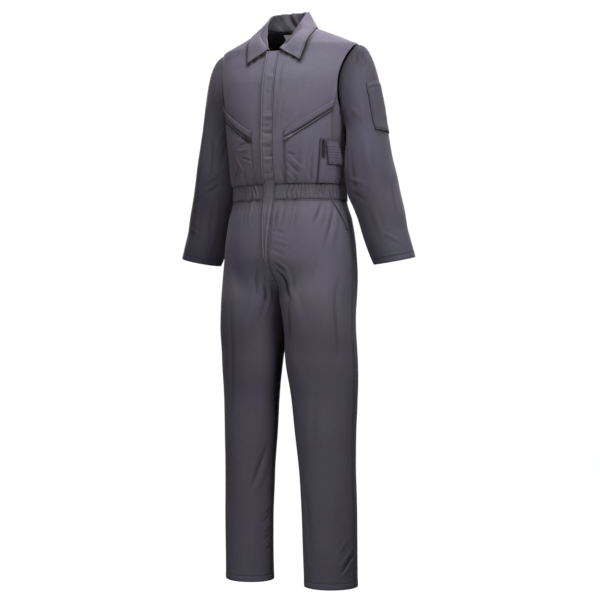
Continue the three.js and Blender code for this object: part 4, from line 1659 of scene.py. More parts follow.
@dataclass
class Sleeves:
    """The two set-in sleeves with their cuffs, and the pen pocket on the left one."""

    sewing: Sewing
    reliefs: dict[str, Relief]
    columns: int = 104
    hem: float = 19.0
    cuff_drop: float = 3.5
    cuff_tilt: float = 8.5
    cuff_faces: float = 298.0
    pen_from: float = -40.0
    pen_to: float = 22.0
    pen_lean: float = 13.0
    pen_top: float = 0.62
    pen_bottom: float = 1.26

    def build(self) -> None:
        """Makes the sleeves and the pocket."""
        self._sleeves()
        self._pen_pocket()

    def _sleeves(self) -> None:
        """Makes both sleeves."""
        cap = np.concatenate([[0.004, 0.012, 0.024], np.linspace(0.04, 1, 44)[:-1]])
        cuff = [3.405, 3.42, 3.43, 3.45, 3.48, 3.52, 3.56, 3.585, 3.5985]
        arm = 1 + np.concatenate([np.arange(0, 3.40, 0.045), cuff])
        down = np.concatenate([cap, arm])
        angle = np.linspace(0, 360, self.columns, endpoint=False)
        a, d = np.meshgrid(angle, down)
        points = sleeve_point(a, d)
        grid = Grid(points, grid_normals(points, True), True)
        away = grid.distance(Edge.BOTTOM)
        # The left cuff hangs lower at its outer front than at its inner back
        hang = points[-1] - points[-4]
        hang = hang / np.linalg.norm(hang, axis=-1, keepdims=True)
        drop = self.cuff_drop + self.cuff_tilt * np.cos(np.radians(a - self.cuff_faces))
        drop = drop * (1 - smooth(away, 0, 90))
        points = points + hang[None] * drop[..., None]
        grids = {Side.LEFT: Grid(points, grid_normals(points, True), True), Side.RIGHT: grid}
        # The cuff's turned hem, and the seam allowance that the armhole holds down
        waves = 0.5 * (1 - smooth(away, self.hem - 1.2, self.hem + 1.2))
        top = grid.distance(Edge.TOP)
        front = smooth(-np.sin(np.radians(a)), -0.35, 0.6)
        # The left armhole is drawn in deep and its sleeve stands up beside it, the right one lies flat
        tuck = (1.6 + 4.4 * front) * np.exp(-((top / (6 + 5 * front)) ** 2))
        drawn = {Side.LEFT: waves - tuck + 1.5 * np.exp(-(((top - 27) / 13) ** 2)),
                 Side.RIGHT: waves + 0.4 * np.exp(-((top / 9) ** 2))}
        seams = [Seam(Edge.BOTTOM, self.hem - 1.5, 0.7, 0.5, 13),
                 Seam(Edge.TOP, 2.0, 0.2, 0.8, 15, sewn=False, edge_shade=0.1)]
        for side in Side:
            name = side.name.lower()
            # Painted shade: the left sleeve darkens towards its armhole at the front, the right one faintly,
            # and the right sleeve is a little darker away from its cuff
            shade = (1.2 if side is Side.LEFT else 0.1) * front * np.exp(-top / 38)
            if side is Side.RIGHT:
                shade = shade + 0.16 * smooth(away, 60, 260)
            nodes = (f"sleeve_front_{name}", f"sleeve_back_{name}")
            Cloth(f"sleeve_{name}_cloth", grids[side], nodes, SHADED_SLEEVE_TWILL,
                  self.reliefs[f"sleeve_{side.name}"], side, seams=seams, waves=drawn[side], shade=shade,
                  rests_on=[f"front_{name}", "back"]).build(self.sewing)

    def _pen_pocket(self) -> None:
        """Makes the pen pocket on the left sleeve."""

        def place(s: np.ndarray, t: np.ndarray) -> tuple[np.ndarray, np.ndarray]:
            """Angles round the arm and distances down it."""
            angle = between(self.pen_from, self.pen_to, s) + self.pen_lean * t
            return angle, between(self.pen_top, self.pen_bottom, t)

        grid = mapped_grid(place, sleeve_point, spaced(95, 3), spaced(150, 3.2), 0.01)
        belly = 2.2 * np.sin(np.pi * grid.shares(0)) ** 0.7
        belly = belly * np.sin(np.pi * grid.shares(1)) ** 0.5
        seams = [*sewn(SIDES, 5, 0.6, 0.5, 12), Seam(Edge.BOTTOM, 5, 0.6, 0.4, 12),
                 Seam(Edge.TOP, 14, 0.6, 0.3, 12)]
        Cloth("sleeve_pocket_cloth", grid, "sleeve_pocket", SHADED_SLEEVE_TWILL, self.reliefs["sleeve_LEFT"],
              lift=CUT.lay + CUT.cloth + belly, seams=seams, held=Held.LAID,
              rests_on=["sleeve_front_left"]).build(self.sewing)


@dataclass
class Waistband:
    """The gathered elastic band in three pieces."""

    sewing: Sewing
    per_quarter: int = 20
    depth: float = 2.1
    plain: float = 12.0
    rows: int = 30
    sewn_at: tuple[float, ...] = (-432.0, -448.0, -464.0)

    def point(self, angle: np.ndarray, z: np.ndarray) -> np.ndarray:
        """The gathered surface.

        Args:
            angle: degrees round the trunk.
            z: heights.

        Returns:
            Points.
        """
        key = np.stack([angle, z * 0.05, 0 * z], axis=-1)
        drift = lattice_noise(key, (8, 0.9, 1), 51)
        strength = 0.6 + 0.75 * lattice_noise(key, (5, 0.8, 1), 52)
        wave = np.cos(np.radians(4 * self.per_quarter * angle + 150 * drift))
        flat = smooth(np.abs((angle + 180) % 360 - 180), self.plain - 4, self.plain + 4)
        lift = self.depth * flat * strength * wave
        # Three rows of sewing through the elastic draw the gathers in
        for at in self.sewn_at:
            lift = lift - 0.55 * flat * np.exp(-(((z - at) / 1.6) ** 2))
        normal = normals_of(trunk_point, angle, z, -1.0)
        return trunk_point(angle, z) + normal * lift[..., None]

    def build(self) -> None:
        """Makes the three pieces."""
        z = np.linspace(CUT.bodice_hem - 0.15, CUT.band_hem + 0.15, self.rows)
        for name, side, start, end in (("left", Side.LEFT, 0.05, 89.95), ("right", Side.RIGHT, 0.05, 89.95),
                                       ("back", Side.LEFT, 90.05, 269.95)):
            columns = np.linspace(start, end, int((end - start) / 90 * self.per_quarter * 9))
            angle, height = np.meshgrid(columns, z)
            sign = -1 if side is Side.RIGHT else 1
            points = self.point(sign * angle, height) * (sign, 1, 1)
            grid = Grid(points, grid_normals(points, False))
            seams = sewn((Edge.TOP, Edge.BOTTOM), 3, 0.2, 0.1, 9, edge_shade=0.5)
            Cloth(f"waistband_{name}_cloth", grid, f"waistband_{name}", BAND_TWILL, None, side, seams=seams,
                  held=Held.GATHERED, slot="band",
                  rests_on=["back" if name == "back" else f"front_{name}"]).build(self.sewing)


@dataclass
class Trousers:
    """Four leg panels and the slanted pocket mouths."""

    sewing: Sewing
    reliefs: dict[str, Relief]
    step: float = 4.3
    hem: float = 19.0
    seam_lap: float = 0.12
    pocket_top_x: float = 160.0
    pocket_top_z: float = -474.0
    pocket_bottom_angle: float = -5.0
    pocket_bottom_z: float = -552.0
    pocket_width: float = 9.0

    def heights(self) -> np.ndarray:
        """Heights of the rows, closer at the rise and the hem.

        Returns:
            Falling heights.
        """
        top = CUT.band_hem - np.maximum(ROWS_BY_AN_EDGE, 0.15)
        rise = np.arange(CUT.band_hem - 13, CUT.crotch - 30, -4.0)
        leg = np.arange(rise[-1] - self.step, CUT.leg_hem + 24, -self.step)
        hem = CUT.leg_hem + np.array([22, 20.5, 19.5, 18.5, 17.5, 16, 13, 9, 5, 2.4, 0.9, 0.15])
        return np.concatenate([top, rise, leg, hem])

    def build(self) -> None:
        """Makes the panels and the pockets."""
        self._panels()
        self._pocket_mouths()

    def _panels(self) -> None:
        """Makes the four leg panels, lapped a little at their seams."""
        z = self.heights()
        lap = np.full(z.shape, self.seam_lap)
        for part, start, end in (("front", -180.0, 0.0), ("back", 0.0, 180.0)):
            grid = grid_on(leg_point, start - lap, end + lap, z, spaced(270, self.step))
            waves = waist_waves(facing_angle(grid.points), grid.points[..., 2])
            below = grid.distance(Edge.BOTTOM)
            waves = waves + 0.5 * (1 - smooth(below, self.hem - 1.2, self.hem + 1.2))
            inner = Edge.FIRST if part == "front" else Edge.LAST
            outer = Edge.LAST if part == "front" else Edge.FIRST
            seams = [Seam(Edge.BOTTOM, self.hem - 1.5, 0.7, 0.4, 14), Seam(Edge.TOP, 5, 0.5, 0.6, 9)]
            if part == "front":
                seams.append(Seam(outer, 6, 0.45, 0.35, 17))
                seams.append(Seam(inner, 4.2, 0.4, 0.5, 15))
            else:
                seams.append(Seam(inner, 6, 0.5, 0.5, 15, rows=2))
                seams.append(Seam(outer, 2, 0.2, 0.35, 17, sewn=False))
            # Painted shade on the insides of the thighs, where they lie in each other's shade
            inward = grid.distance(inner)
            level = grid.points[..., 2]
            shade = np.exp(-inward / 26) * smooth(-level, 690, 760) * (1 - smooth(-level, 900, 1150))
            for side in Side:
                name = side.name.lower()
                Cloth(f"leg_{part}_{name}_cloth", grid, f"leg_{part}_{name}", SUIT_TWILL,
                      self.reliefs[f"leg_{side.name}"], side, seams=seams, waves=waves, shade=shade,
                      rests_on=[f"waistband_{name}" if part == "front" else "waistband_back"]
                      ).build(self.sewing)

    def _pocket_mouths(self) -> None:
        """Makes the two slanted pocket mouths."""
        top = 2 * angle_at(self.pocket_top_x, self.pocket_top_z) - 180

        def place(s: np.ndarray, t: np.ndarray) -> tuple[np.ndarray, np.ndarray]:
            """Angles and heights of the pocket mouth."""
            angle = between(top, self.pocket_bottom_angle, t) - self.pocket_width * (1 - s)
            return angle, between(self.pocket_top_z, self.pocket_bottom_z, t)

        grid = mapped_grid(place, leg_point, np.linspace(0, 1, 9), spaced(88, 3))
        seams = [Seam(Edge.FIRST, 4.5, 0.45, 0.3, 13), Seam(Edge.LAST, 1.2, 0.3, 0.3, 13, sewn=False)]
        bow = np.sin(np.pi * grid.shares(0))
        gape = CUT.curved_lay + CUT.cloth + 0.9 * bow
        gape = gape * np.linspace(0.82, 1.05, grid.points.shape[1])[None, :]
        for side in Side:
            name = side.name.lower()
            Cloth(f"side_pocket_{name}_cloth", grid, f"side_pocket_{name}", SUIT_TWILL,
                  self.reliefs[f"leg_{side.name}"], side, lift=gape, seams=seams, held=Held.LAID,
                  rests_on=[f"leg_front_{name}"]).build(self.sewing)


@dataclass
class Collar:
    """The stand and the turned-down fall, in one folded piece."""

    sewing: Sewing
    front_half: float = 17.0
    side_at: float = 0.45
    fold: float = 3.0
    clear: float = 5.5
    seam_back_up: float = 0.6
    seam_front_up: float = 4.2
    seam_inward: float = 1.3
    wrinkle: float = 2.4
    lift_step: float = 0.5

    def base(self, share: np.ndarray) -> np.ndarray:
        """Points of the neck seam.

        Args:
            share: 0 at the centre back and 1 at the front end.

        Returns:
            Points, in a row.
        """
        back = trunk_point(180 - 90 * np.minimum(share, self.side_at) / self.side_at,
                           np.full(share.shape, CUT.neck_top))
        t = np.clip((share - self.side_at) / (1 - self.side_at), 0, 1)
        x = CUT.neck_half + (self.front_half - CUT.neck_half) * t**1.5
        z = CUT.neck_pit + (CUT.neck_top - CUT.neck_pit) * (x / CUT.neck_half) ** (1 / CUT.neck_curve)
        front = trunk_point(angle_at(x, z), z)
        return np.where((share <= self.side_at)[:, None], back, front)

    def clear_of_trunk(self, points: np.ndarray) -> np.ndarray:
        """Raises points until they are clear of the shoulders and chest.

        Args:
            points: the points, in a row.

        Returns:
            The raised points.
        """
        raised = points.copy()
        for _ in range(160):
            z = raised[:, 2]
            depth = np.where(raised[:, 1] < 0, TRUNK.read("front", z), TRUNK.read("back", z)) + self.clear
            power = TRUNK.read("power", z)
            side = TRUNK.read("side", z) + self.clear
            inside = (np.abs(raised[:, 0]) / side) ** power + (np.abs(raised[:, 1]) / depth) ** power < 1
            low = inside & (z < CUT.neck_top)
            if not low.any():
                break
            raised[low, 2] += self.lift_step
        return raised

    def columns(self, share: np.ndarray) -> np.ndarray:
        """Control points from the neck seam over the fold to the outer edge.

        Args:
            share: 0 at the centre back and 1 at the front end.

        Returns:
            Points with axes control, column and coordinate.
        """
        base = self.base(share)
        roll = np.stack([COLLAR.read(f"roll_{axis}", share) for axis in "xyz"], -1)
        edge = np.stack([COLLAR.read(f"edge_{axis}", share) for axis in "xyz"], -1)
        out = unit((edge - roll) * (1, 1, 0))
        inward = unit(-base * (1, 1, 0))
        up = np.array([0, 0, 1.0])
        rise = between(self.seam_back_up, self.seam_front_up, share)
        base = base + up * rise[:, None] + inward * self.seam_inward
        roll_in, roll_out = roll - out * self.fold, roll + out * self.fold
        fall = [self.clear_of_trunk(between(roll_out, edge, t)) for t in (0.33, 0.67, 1)]
        return np.stack([base, (base + roll_in) / 2, roll_in, roll + up * self.fold, roll_out, *fall])

    def rim(self) -> np.ndarray:
        """Points along the left leaf's outer edge and its front end."""
        leaf = self.columns(np.linspace(0, 1, 240))
        return np.concatenate([leaf[-1], leaf[4:, -1]])

    def build(self) -> None:
        """Makes the collar."""
        half = spaced(235, 3.0)
        share = np.concatenate([-half[::-1], half[1:]])
        control = self.columns(np.abs(share))
        control[..., 0] *= np.where(share > 0, -1, 1)
        count = len(control)
        rim = [6.78, 6.85, 6.91, 6.96, 7.0]
        rows = np.concatenate([np.linspace(0, 2, 12), np.linspace(2, 4, 15)[1:],
                               np.linspace(4, 6.7, 20)[1:], rim])
        k = np.clip(rows.astype(int), 0, count - 2)
        t = (rows - k)[:, None, None]
        before, after = control[np.maximum(k - 1, 0)], control[np.minimum(k + 2, count - 1)]
        first, second = control[k], control[k + 1]
        bend = 2 * before - 5 * first + 4 * second - after
        points = 0.5 * (2 * first + (second - before) * t + bend * t**2
                        + (3 * first - before - 3 * second + after) * t**3)
        grid = Grid(points, grid_normals(points, False))
        relief = Relief(0.9, (46, 46, 40), 77)
        stand = smooth(4 - rows, 0, 2)[:, None]
        key = np.stack([grid.run(1) - 0.55 * grid.run(0), grid.run(0) * 0.3, 0 * grid.run(1)], -1)
        behind = 1 - smooth(np.abs(share), 0.4, 0.62)
        waves = stand * self.wrinkle * lattice_noise(key, (10, 16, 1), 61) * behind
        # Wide painted shade along the leaf's outer edge and front ends, as shadow under them
        seams = [Seam(Edge.BOTTOM, 6, 0.55, 0.25, 14, edge_shade=1.6),
                 *sewn(SIDES, 6, 0.55, 0.2, 14, start=0.55, edge_shade=1.6),
                 Seam(Edge.TOP, 3, 0.4, 0.4, 10)]
        Cloth("collar_cloth", grid, "collar", SUIT_TWILL, relief, seams=seams, waves=waves, held=Held.FOLDED,
              rests_on=["front_left", "front_right", "back"]).build(self.sewing)


@dataclass
class StormFlap:
    """The flap over the front closure, free along the wearer's right edge."""

    sewing: Sewing
    relief: Relief
    top: float = -62.0
    bottom: float = -654.0
    sewn_lift: float = 0.4
    free_lift: float = 3.8
    band_hold: float = 0.7
    edge_sunk: float = 0.5
    ripple: float = 2.1
    sway: float = 1.3
    stud_x: float = 2.0
    stud_z: float = -132.0

    def build(self) -> None:
        """Makes the flap."""
        down = spaced(592, 3.0)

        def place(s: np.ndarray, t: np.ndarray) -> tuple[np.ndarray, np.ndarray]:
            """Angles and heights of the flap.

            Args:
                s: shares across it.
                t: shares down it.

            Returns:
                Both values.
            """
            z = between(self.top, self.bottom, t)
            right = angle_at(FLAP.read("right", z), z)
            left = angle_at(FLAP.read("left", z), z)
            return between(right, left, s), z

        across = spaced(36, 2.2)
        grid = mapped_grid(place, front_point, across, down)
        z = grid.points[..., 2]
        s = np.broadcast_to(across[None, :], z.shape)
        key = np.stack([z, 9 * s, 0 * z], -1)
        ripple = self.ripple * lattice_noise(key, (9, 14, 1), 71) * smooth(s, 0.05, 0.8)
        band = smooth(-z, 210, 260) * (1 - smooth(-z, 400, 440))
        ripple = ripple * (0.35 + 0.9 * band) * (1 - smooth(s, 0.88, 1.0))
        edge = self.sway * lattice_noise(key, (46, 30, 1), 72) * (1 - s)
        # Slanted folds run down the fly
        low = smooth(-z, 470, 500) * (1 - smooth(-z, 610, 650))
        for at, lean, height in ((0.86, 0.32, -1.5), (0.66, 0.3, 1.3), (0.5, 0.25, -1.4)):
            edge = edge + height * low * np.exp(-(((s - at + lean * (-z - 470) / 180) / 0.09) ** 2))
        lift = CUT.flap_cloth + self.sewn_lift + (self.free_lift - self.sewn_lift) * (1 - s) ** 1.5
        # The waistband holds it down, and its sewn edge is sunk in the panel
        over_band = smooth(-z, 395, 425) * (1 - smooth(-z, 475, 500))
        lift = lift - over_band * (lift - CUT.flap_cloth) * self.band_hold
        lift = lift - self.edge_sunk * smooth(s, 0.9, 1.0)
        # A press stud under the cloth, near the neck
        stud = np.hypot(grid.points[..., 0] - self.stud_x, z - self.stud_z)
        lift = lift + 0.9 * np.exp(-((stud / 7) ** 4)) - 1.1 * np.exp(-((stud / 2.6) ** 2))
        seams = [Seam(Edge.LAST, 5, 0.7, 0.5, 12), Seam(Edge.FIRST, 6, 0.4, 0.15, 20),
                 Seam(Edge.BOTTOM, 4, 0.5, 0.2, 9)]
        Cloth("storm_flap_cloth", grid, "storm_flap", SUIT_TWILL, self.relief, lift=lift + ripple + edge,
              thickness=CUT.flap_cloth, seams=seams,
              rests_on=["front_left", "front_right"]).build(self.sewing)


@dataclass
class ChestPockets:
    """Slanted zip pockets: welt, zip tape with teeth, and the bag's patch."""

    sewing: Sewing
    repeater: PathRepeater
    relief: Relief
    inner_x: float = 50.0
    inner_z: float = -280.0
    outer_x: float = 176.0
    outer_z: float = -196.0
    low_angle: float = 74.0
    welt: float = 24.0
    tape: float = 11.0
    tape_cloth: float = 1.0
    strip_gap: float = 0.4
    above_hem: float = 2.0
    coil_pitch: float = 1.7
    welt_rows: tuple[float, ...] = (0, 0.035, 0.1, 0.16, 0.2, 0.25, 0.32, 0.42, 0.5, 0.56, 0.62, 0.7, 0.8,
                                    0.9, 0.96, 1)

    def line(self, share: np.ndarray, below: np.ndarray) -> tuple[np.ndarray, np.ndarray]:
        """Angles and heights at a distance below the slanted top line.

        Args:
            share: shares along the line.
            below: millimetres below it.

        Returns:
            Angles and heights.
        """
        first = angle_at(self.inner_x, self.inner_z)
        last = angle_at(self.outer_x, self.outer_z)
        return between(first, last, share), between(self.inner_z, self.outer_z, share) - below

    def build(self) -> None:
        """Makes both pockets."""
        across = spaced(158, 2.6)
        tape_top = self.welt + self.strip_gap
        patch_top = tape_top + self.tape + self.strip_gap
        welt = mapped_grid(lambda s, t: self.line(s, self.welt * t), trunk_point, across,
                           np.array(self.welt_rows))
        tape = mapped_grid(lambda s, t: self.line(s, tape_top + self.tape * t), trunk_point, across,
                           np.linspace(0, 1, 9))
        row = welt.shares(0)
        # The welt swells towards the zip and hangs over the tape's upper side
        swell = CUT.lay + CUT.cloth + 1.4 * np.sin(np.pi * row) ** 0.8 + 0.9 * row

        def patch(s: np.ndarray, t: np.ndarray) -> tuple[np.ndarray, np.ndarray]:
            """Angles and heights of the patch.

            Args:
                s: shares across it.
                t: shares down it.

            Returns:
                Both values.
            """
            angle, top = self.line(s, np.full(np.shape(s), patch_top))
            z = top + (CUT.bodice_hem + self.above_hem - top) * t
            inner = angle_at(self.inner_x, z) - angle_at(self.inner_x, top)
            spread = t * (self.low_angle - angle_at(self.outer_x, self.outer_z))
            return angle + between(inner, spread, s), z

        bag = mapped_grid(patch, trunk_point, spaced(150, 3.0), spaced(150, 3.0))
        waves = waist_waves(facing_angle(bag.points), bag.points[..., 2])
        full = np.sin(np.pi * bag.shares(1)) ** 0.6
        full = 2.2 * full * smooth(np.linspace(1, 0, bag.points.shape[0]), 0, 0.35)[:, None]
        for side in Side:
            name = side.name.lower()
            on = [f"front_{name}"]
            Cloth(f"chest_welt_{name}_cloth", welt, f"chest_welt_{name}", SUIT_TWILL, self.relief, side,
                  lift=swell, held=Held.LAID, rests_on=on,
                  seams=[Seam(Edge.TOP, 3.5, 0.55, 0.25, 12, rows=2, between=6),
                         Seam(Edge.BOTTOM, 3.5, 0.5, 0.25, 12), *sewn(SIDES, 4, 0.4, 0.2, 9)]
                  ).build(self.sewing)
            Cloth(f"zip_tape_{name}_cloth", tape, f"zip_tape_{name}", TAPE_WEAVE, self.relief, side,
                  lift=CUT.lay + self.tape_cloth, thickness=self.tape_cloth, held=Held.LAID, rests_on=on,
                  slot="tape").build(self.sewing)
            Cloth(f"chest_pocket_{name}_cloth", bag, f"chest_pocket_{name}", SUIT_TWILL, self.relief, side,
                  lift=CUT.curved_lay + CUT.cloth + full, waves=waves, held=Held.LAID, rests_on=on,
                  seams=[Seam(Edge.TOP, 4, 0.6, 0.35, 11), Seam(Edge.FIRST, 5, 0.6, 0.45, 13),
                         Seam(Edge.LAST, 5, 0.5, 0.4, 13)]).build(self.sewing)
            self._coil(side, tape_top)

    def _coil(self, side: Side, tape_top: float) -> None:
        """Lays the coil's slanted turns along the middle of the tape.

        Args:
            side: which pocket.
            tape_top: millimetres from the pocket's top line to the tape.
        """
        ends = [(-1.9, 0.3, 0.1), (-1.5, 0.5, 0.35), (1.5, 0.5, 0.35), (1.9, 0.3, 0.1)]
        shape = small_shape("coil_turn", ends, 6, 62)
        mirror = np.array([side.value, 1, 1])
        share = np.linspace(0.085, 0.985, 120)
        angle, z = self.line(share, np.full(share.shape, tape_top + self.tape / 2))
        base = trunk_point(angle, z)
        normal = normals_of(trunk_point, angle, z, -1.0)
        height = CUT.lay + self.tape_cloth + self.relief.height(base * mirror)
        path = ((base + normal * height[:, None]) * mirror, normal * mirror)
        piece = self.repeater.lay(f"zip_coil_{side.name.lower()}", [path], shape, self.coil_pitch, COIL)
        bpy.data.objects.remove(shape)
        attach(piece, "suit")


@dataclass
class PhonePocket:
    """Patch pocket with its flap and the strap loop, on the wearer's left side."""

    sewing: Sewing
    relief: Relief
    top_x: float = 139.0
    bottom_x: float = 126.0
    top_z: float = -306.0
    side_angle: float = 73.0
    flap_inner: float = 149.0
    flap_outer: float = 168.0
    flap_top: float = -316.0
    flap_bottom: float = -376.0
    strap_from: float = 80.0
    strap_to: float = 86.0
    strap_top: float = -324.0
    strap_bottom: float = -372.0
    bulge: float = 3.0
    above_hem: float = 2.0

    def build(self) -> None:
        """Makes the three pieces."""
        self._pocket()
        self._flap()
        self._strap()

    def _pocket(self) -> None:
        """Makes the pocket, on the chest pocket's patch."""
        bottom = CUT.bodice_hem + self.above_hem

        def pocket(s: np.ndarray, t: np.ndarray) -> tuple[np.ndarray, np.ndarray]:
            """Angles and heights of the pocket.

            Args:
                s: shares across it.
                t: shares down it.

            Returns:
                Both values.
            """
            z = between(self.top_z, bottom, t)
            start = angle_at(between(self.top_x, self.bottom_x, t), z)
            return between(start, self.side_angle, s), z

        grid = mapped_grid(pocket, trunk_point, spaced(62, 2.4), spaced(122, 2.8))
        rows, columns = grid.points.shape[:2]
        full = np.sin(np.pi * np.linspace(0, 1, columns)[None, :] ** 0.8) ** 0.5
        rise = np.linspace(1, 0, rows)
        full = full * smooth(rise, 0, 0.3)[:, None] * 2.2 + 1.8 * rise[:, None]
        # Its free inner edge stands off the patch below
        full = full + 3.4 * smooth(np.linspace(1, 0, columns), 0.55, 1.0)[None, :]
        # A deep tuck runs down beside the flap
        down, over = np.linspace(0, 1, rows)[:, None], np.linspace(0, 1, columns)[None, :]
        tuck = np.exp(-(((over - 0.22 - 0.1 * down) / 0.1) ** 2)) * smooth(down, 0.06, 0.14)
        tuck = tuck * (1 - smooth(down, 0.4, 0.52))
        full = full - 2.4 * tuck
        # Painted shade in the tuck and along the pocket's free inner edge
        shade = np.maximum(tuck, np.exp(-((over / 0.1) ** 2)) * np.sin(np.pi * down) ** 0.5)
        Cloth("phone_pocket_cloth", grid, "phone_pocket", SUIT_TWILL, self.relief,
              lift=ON_PATCH + CUT.cloth + full, shade=shade, held=Held.LAID, rests_on=["chest_pocket_left"],
              seams=[Seam(Edge.TOP, 5, 0.6, 0.3, 12, rows=2, between=7), Seam(Edge.FIRST, 4.2, 0.6, 0.5, 12),
                     Seam(Edge.LAST, 4.2, 0.5, 0.4, 12)]).build(self.sewing)

    def _flap(self) -> None:
        """Makes the quilted flap."""

        def flap(s: np.ndarray, t: np.ndarray) -> tuple[np.ndarray, np.ndarray]:
            """Angles and heights of the flap.

            Args:
                s: shares across it.
                t: shares down it.

            Returns:
                Both values.
            """
            z = between(self.flap_top, self.flap_bottom, t)
            first, last = angle_at(self.flap_inner, z), angle_at(self.flap_outer, z)
            return between(first, last, s), z

        grid = mapped_grid(flap, trunk_point, spaced(40, 2.0), spaced(62, 2.2))
        belly = np.sin(np.pi * grid.shares(0)) ** 0.7
        belly = 5.2 + 1.8 * belly * np.ones(grid.points.shape[:2])
        Cloth("phone_flap_cloth", grid, "phone_flap", SUIT_TWILL, self.relief,
              lift=ON_PATCH + CUT.lay + 2 * CUT.cloth + belly, held=Held.LAID, rests_on=["phone_pocket"],
              seams=[Seam(Edge.TOP, 5, 0.5, 0.35, 9, rows=7, between=7.6),
                     *sewn((Edge.BOTTOM, *SIDES), 4, 0.5, 0.25, 9)]
              ).build(self.sewing)

    def _strap(self) -> None:
        """Makes the strap loop, which arches off the panel."""

        def strap(s: np.ndarray, t: np.ndarray) -> tuple[np.ndarray, np.ndarray]:
            """Angles and heights of the strap loop."""
            return (between(self.strap_from, self.strap_to, s),
                    between(self.strap_top, self.strap_bottom, t))

        grid = mapped_grid(strap, trunk_point, np.linspace(0, 1, 10), spaced(48, 2.0))
        arch = self.bulge * np.sin(np.pi * grid.shares(0))
        Cloth("strap_loop_cloth", grid, "strap_loop", BAND_TWILL, self.relief,
              lift=CUT.lay + CUT.cloth + arch, held=Held.LAID, rests_on=["front_left"],
              seams=sewn(SIDES, 2.2, 0.3, 0.1, 9)).build(self.sewing)


@dataclass
class NeckTab:
    """The blank tab inside the back of the neck."""

    sewing: Sewing
    relief: Relief
    middle: float = -28.0
    half: float = 15.0
    top: float = 8.0
    bottom: float = -22.0
    cloth: float = 1.0

    def build(self) -> None:
        """Makes the tab."""

        def place(s: np.ndarray, t: np.ndarray) -> tuple[np.ndarray, np.ndarray]:
            """Angles and heights of the tab.

            Args:
                s: shares across it.
                t: shares down it.

            Returns:
                Both values.
            """
            z = between(self.top, self.bottom, t)
            x = self.middle + self.half * (1 - 2 * s)
            return 180 - angle_at(x, z), z

        grid = mapped_grid(place, trunk_point, spaced(30, 2.0), spaced(36, 2.0))
        Cloth("neck_tab_cloth", grid, "neck_tab", TAB_WEAVE, self.relief,
              lift=-CUT.cloth - CUT.lay, inside_shade=0.0, thickness=self.cloth, held=Held.LAID,
              rests_on=["back"], slot="tab").build(self.sewing)


@dataclass
class ZipPulls:
    """Sliders and pull tabs: the solids themselves, with softened edges and bright metal."""

    bevel: float = 0.25

    def build(self) -> None:
        """Finishes the four nodes."""
        for name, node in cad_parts.items():
            if not name.startswith("zip_slider") and not name.startswith("zip_pull"):
                continue
            node.data.materials.clear()
            node.data.materials.append(NICKEL.material())
            bevel = node.modifiers.new("softened", "BEVEL")
            bevel.width = self.bevel * MM
            bevel.segments = 2
            bevel.limit_method = "ANGLE"


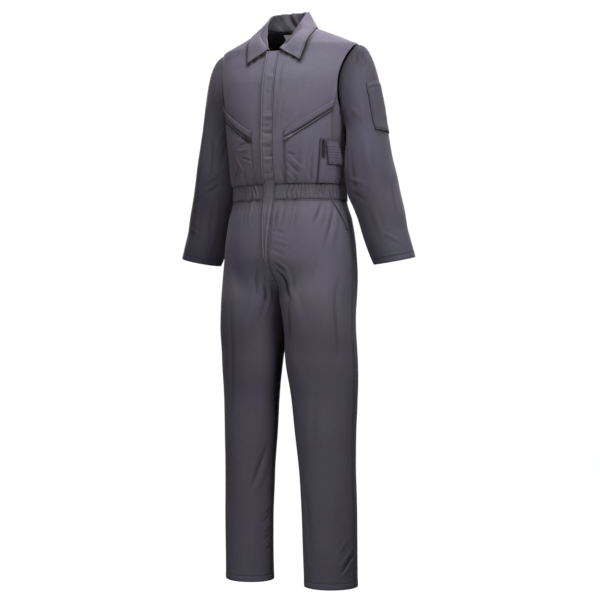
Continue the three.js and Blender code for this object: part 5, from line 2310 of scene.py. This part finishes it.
@dataclass
class Studio:
    """Camera, soft lights, pale floor and backdrop."""

    azimuth: float = 28.0
    distance: float = 4.0
    height: float = -0.742
    lens: float = 86.04
    sideways: float = 0.0279
    floor_z: float = -1.66
    floor_half: float = 7.0
    dome_radius: float = 9.0
    dome_levels: int = 8
    dome_sides: int = 48
    glow: float = 1.02
    sky: float = 0.015

    def build(self) -> None:
        """Makes the stage."""
        turn = math.radians(self.azimuth)
        back = Vector((math.sin(turn), -math.cos(turn), 0))
        right = Vector((math.cos(turn), math.sin(turn), 0))
        camera = bpy.data.cameras.new("camera")
        camera.lens = self.lens
        camera.sensor_width = 36.0
        holder = add_object("camera", camera)
        holder.location = back * self.distance + right * self.sideways + Vector((0, 0, self.height))
        holder.rotation_euler = (-back).to_track_quat("-Z", "Y").to_euler()
        bpy.context.scene.camera = holder
        self._lamps(back, right)
        self._backdrop()
        world = bpy.data.worlds.new("studio")
        world.use_nodes = True
        world.node_tree.nodes["Background"].inputs["Color"].default_value = (1, 1, 1, 1)
        world.node_tree.nodes["Background"].inputs["Strength"].default_value = self.sky
        bpy.context.scene.world = world
        bpy.context.scene.view_settings.view_transform = "Standard"

    def _lamps(self, back: Vector, right: Vector) -> None:
        """Places the soft lamps, and the spots that light the chest, shoulders, belly and neck.

        Args:
            back: direction from the suit to the camera.
            right: direction to the camera's right.
        """
        up = Vector((0, 0, 1))
        whole, chest, belly = Vector((0, 0, -0.5)), Vector((-0.02, -0.1, -0.28)), Vector((0.02, -0.1, -0.36))
        self._lamp("high", back * 0.4 + right * 0.15 + up * 2.0, whole, 93, 1.2)
        self._lamp("key", back * 1.3 + right * 0.9 + up * 0.3, whole, 18, 0.6)
        self._lamp("low", back * 1.4 - right * 1.0 - up * 1.4, whole, 10, 0.6)
        self._lamp("front", back * 1.6 - right * 1.2 + up * 0.3, chest, 34, 0.3, 26)
        self._lamp("top", back * 0.6 + up * 2.2, Vector((0.05, -0.05, -0.09)), 165, 0.3, 19)
        self._lamp("middle", back * 1.5 + right * 0.1 - up * 1.5, belly, 84, 0.3, 14)
        self._lamp("neck", back * 2.0 + up * 0.3, Vector((-0.02, 0.07, 0)), 45, 0.02, 4)
        self._lamp("rear_left", right * 0.9 - back * 2.2 + up * 0.9, whole, 60, 1.2)
        self._lamp("rear_right", up * 0.3 - right * 0.9 - back * 2.2, whole, 45, 1.2)

    @staticmethod
    def _lamp(name: str, place: Vector, aim: Vector, power: float, size: float, cone: float = 0) -> None:
        """Adds one soft lamp.

        Args:
            name: its name.
            place: where it stands.
            aim: what it points at.
            power: watts.
            size: metres across.
            cone: degrees of a spotlight, or 0 for a flat lamp.
        """
        lamp = bpy.data.lights.new(name, "SPOT" if cone else "AREA")
        lamp.energy = power
        if cone:
            lamp.shadow_soft_size = size
            lamp.spot_size = math.radians(cone)
            lamp.spot_blend = 1.0
        else:
            lamp.size = size
        holder = add_object(name, lamp)
        holder.location = place
        holder.rotation_euler = (aim - place).to_track_quat("-Z", "Y").to_euler()

    def _backdrop(self) -> None:
        """Adds the floor and a dome that only show behind the suit."""
        for name, (points, faces) in (("floor", self._floor()), ("dome", self._dome())):
            material, tree, shader = new_material(f"{name}_white")
            tree.set(shader, Base_Color=(0.02, 0.02, 0.02, 1), Roughness=1.0, Emission_Color=(1, 1, 1, 1),
                     Emission_Strength=self.glow)
            mesh = bpy.data.meshes.new(name)
            mesh.from_pydata(points, [], faces)
            mesh.materials.append(material)
            piece = add_object(name, mesh)
            piece.visible_diffuse = False
            piece.visible_glossy = False
            piece.visible_shadow = False

    def _floor(self) -> tuple[list[tuple[float, ...]], list[tuple[int, ...]]]:
        """Points and faces of a square floor."""
        corners = ((-1, -1), (1, -1), (1, 1), (-1, 1))
        return [(x * self.floor_half, y * self.floor_half, self.floor_z) for x, y in corners], [(0, 1, 2, 3)]

    def _dome(self) -> tuple[list[tuple[float, ...]], list[tuple[int, ...]]]:
        """Half a sphere, seen from inside.

        Returns:
            Its points and its faces.
        """
        points, faces = [], []
        for level in range(self.dome_levels + 1):
            up = math.radians(90 * level / self.dome_levels)
            radius = self.dome_radius * math.cos(up)
            z = self.floor_z - 0.5 + self.dome_radius * math.sin(up)
            for k in range(self.dome_sides):
                around = 2 * math.pi * k / self.dome_sides
                points.append((radius * math.cos(around), radius * math.sin(around), z))
        for level in range(self.dome_levels):
            here, above = level * self.dome_sides, (level + 1) * self.dome_sides
            for k in range(self.dome_sides):
                after = (k + 1) % self.dome_sides
                faces.append((here + k, above + k, above + after, here + after))
        return points, faces


def main() -> None:
    """Builds the suit and its stage in order."""
    logging.basicConfig(level=logging.INFO, format="%(message)s")
    relief = reliefs()
    repeater = PathRepeater()
    upper, lower = Sewing("stitching_upper"), Sewing("stitching_lower")
    Studio().build()
    collar = Collar(upper)
    Bodice(upper, relief["trunk"], collar.rim()).build()
    Sleeves(upper, relief).build()
    collar.build()
    StormFlap(upper, relief["trunk"]).build()
    ChestPockets(upper, repeater, relief["trunk"]).build()
    PhonePocket(upper, relief["trunk"]).build()
    NeckTab(upper, relief["trunk"]).build()
    Waistband(lower).build()
    Trousers(lower, relief).build()
    ZipPulls().build()
    upper.build(repeater)
    lower.build(repeater)


if __name__ == "__main__":
    main()
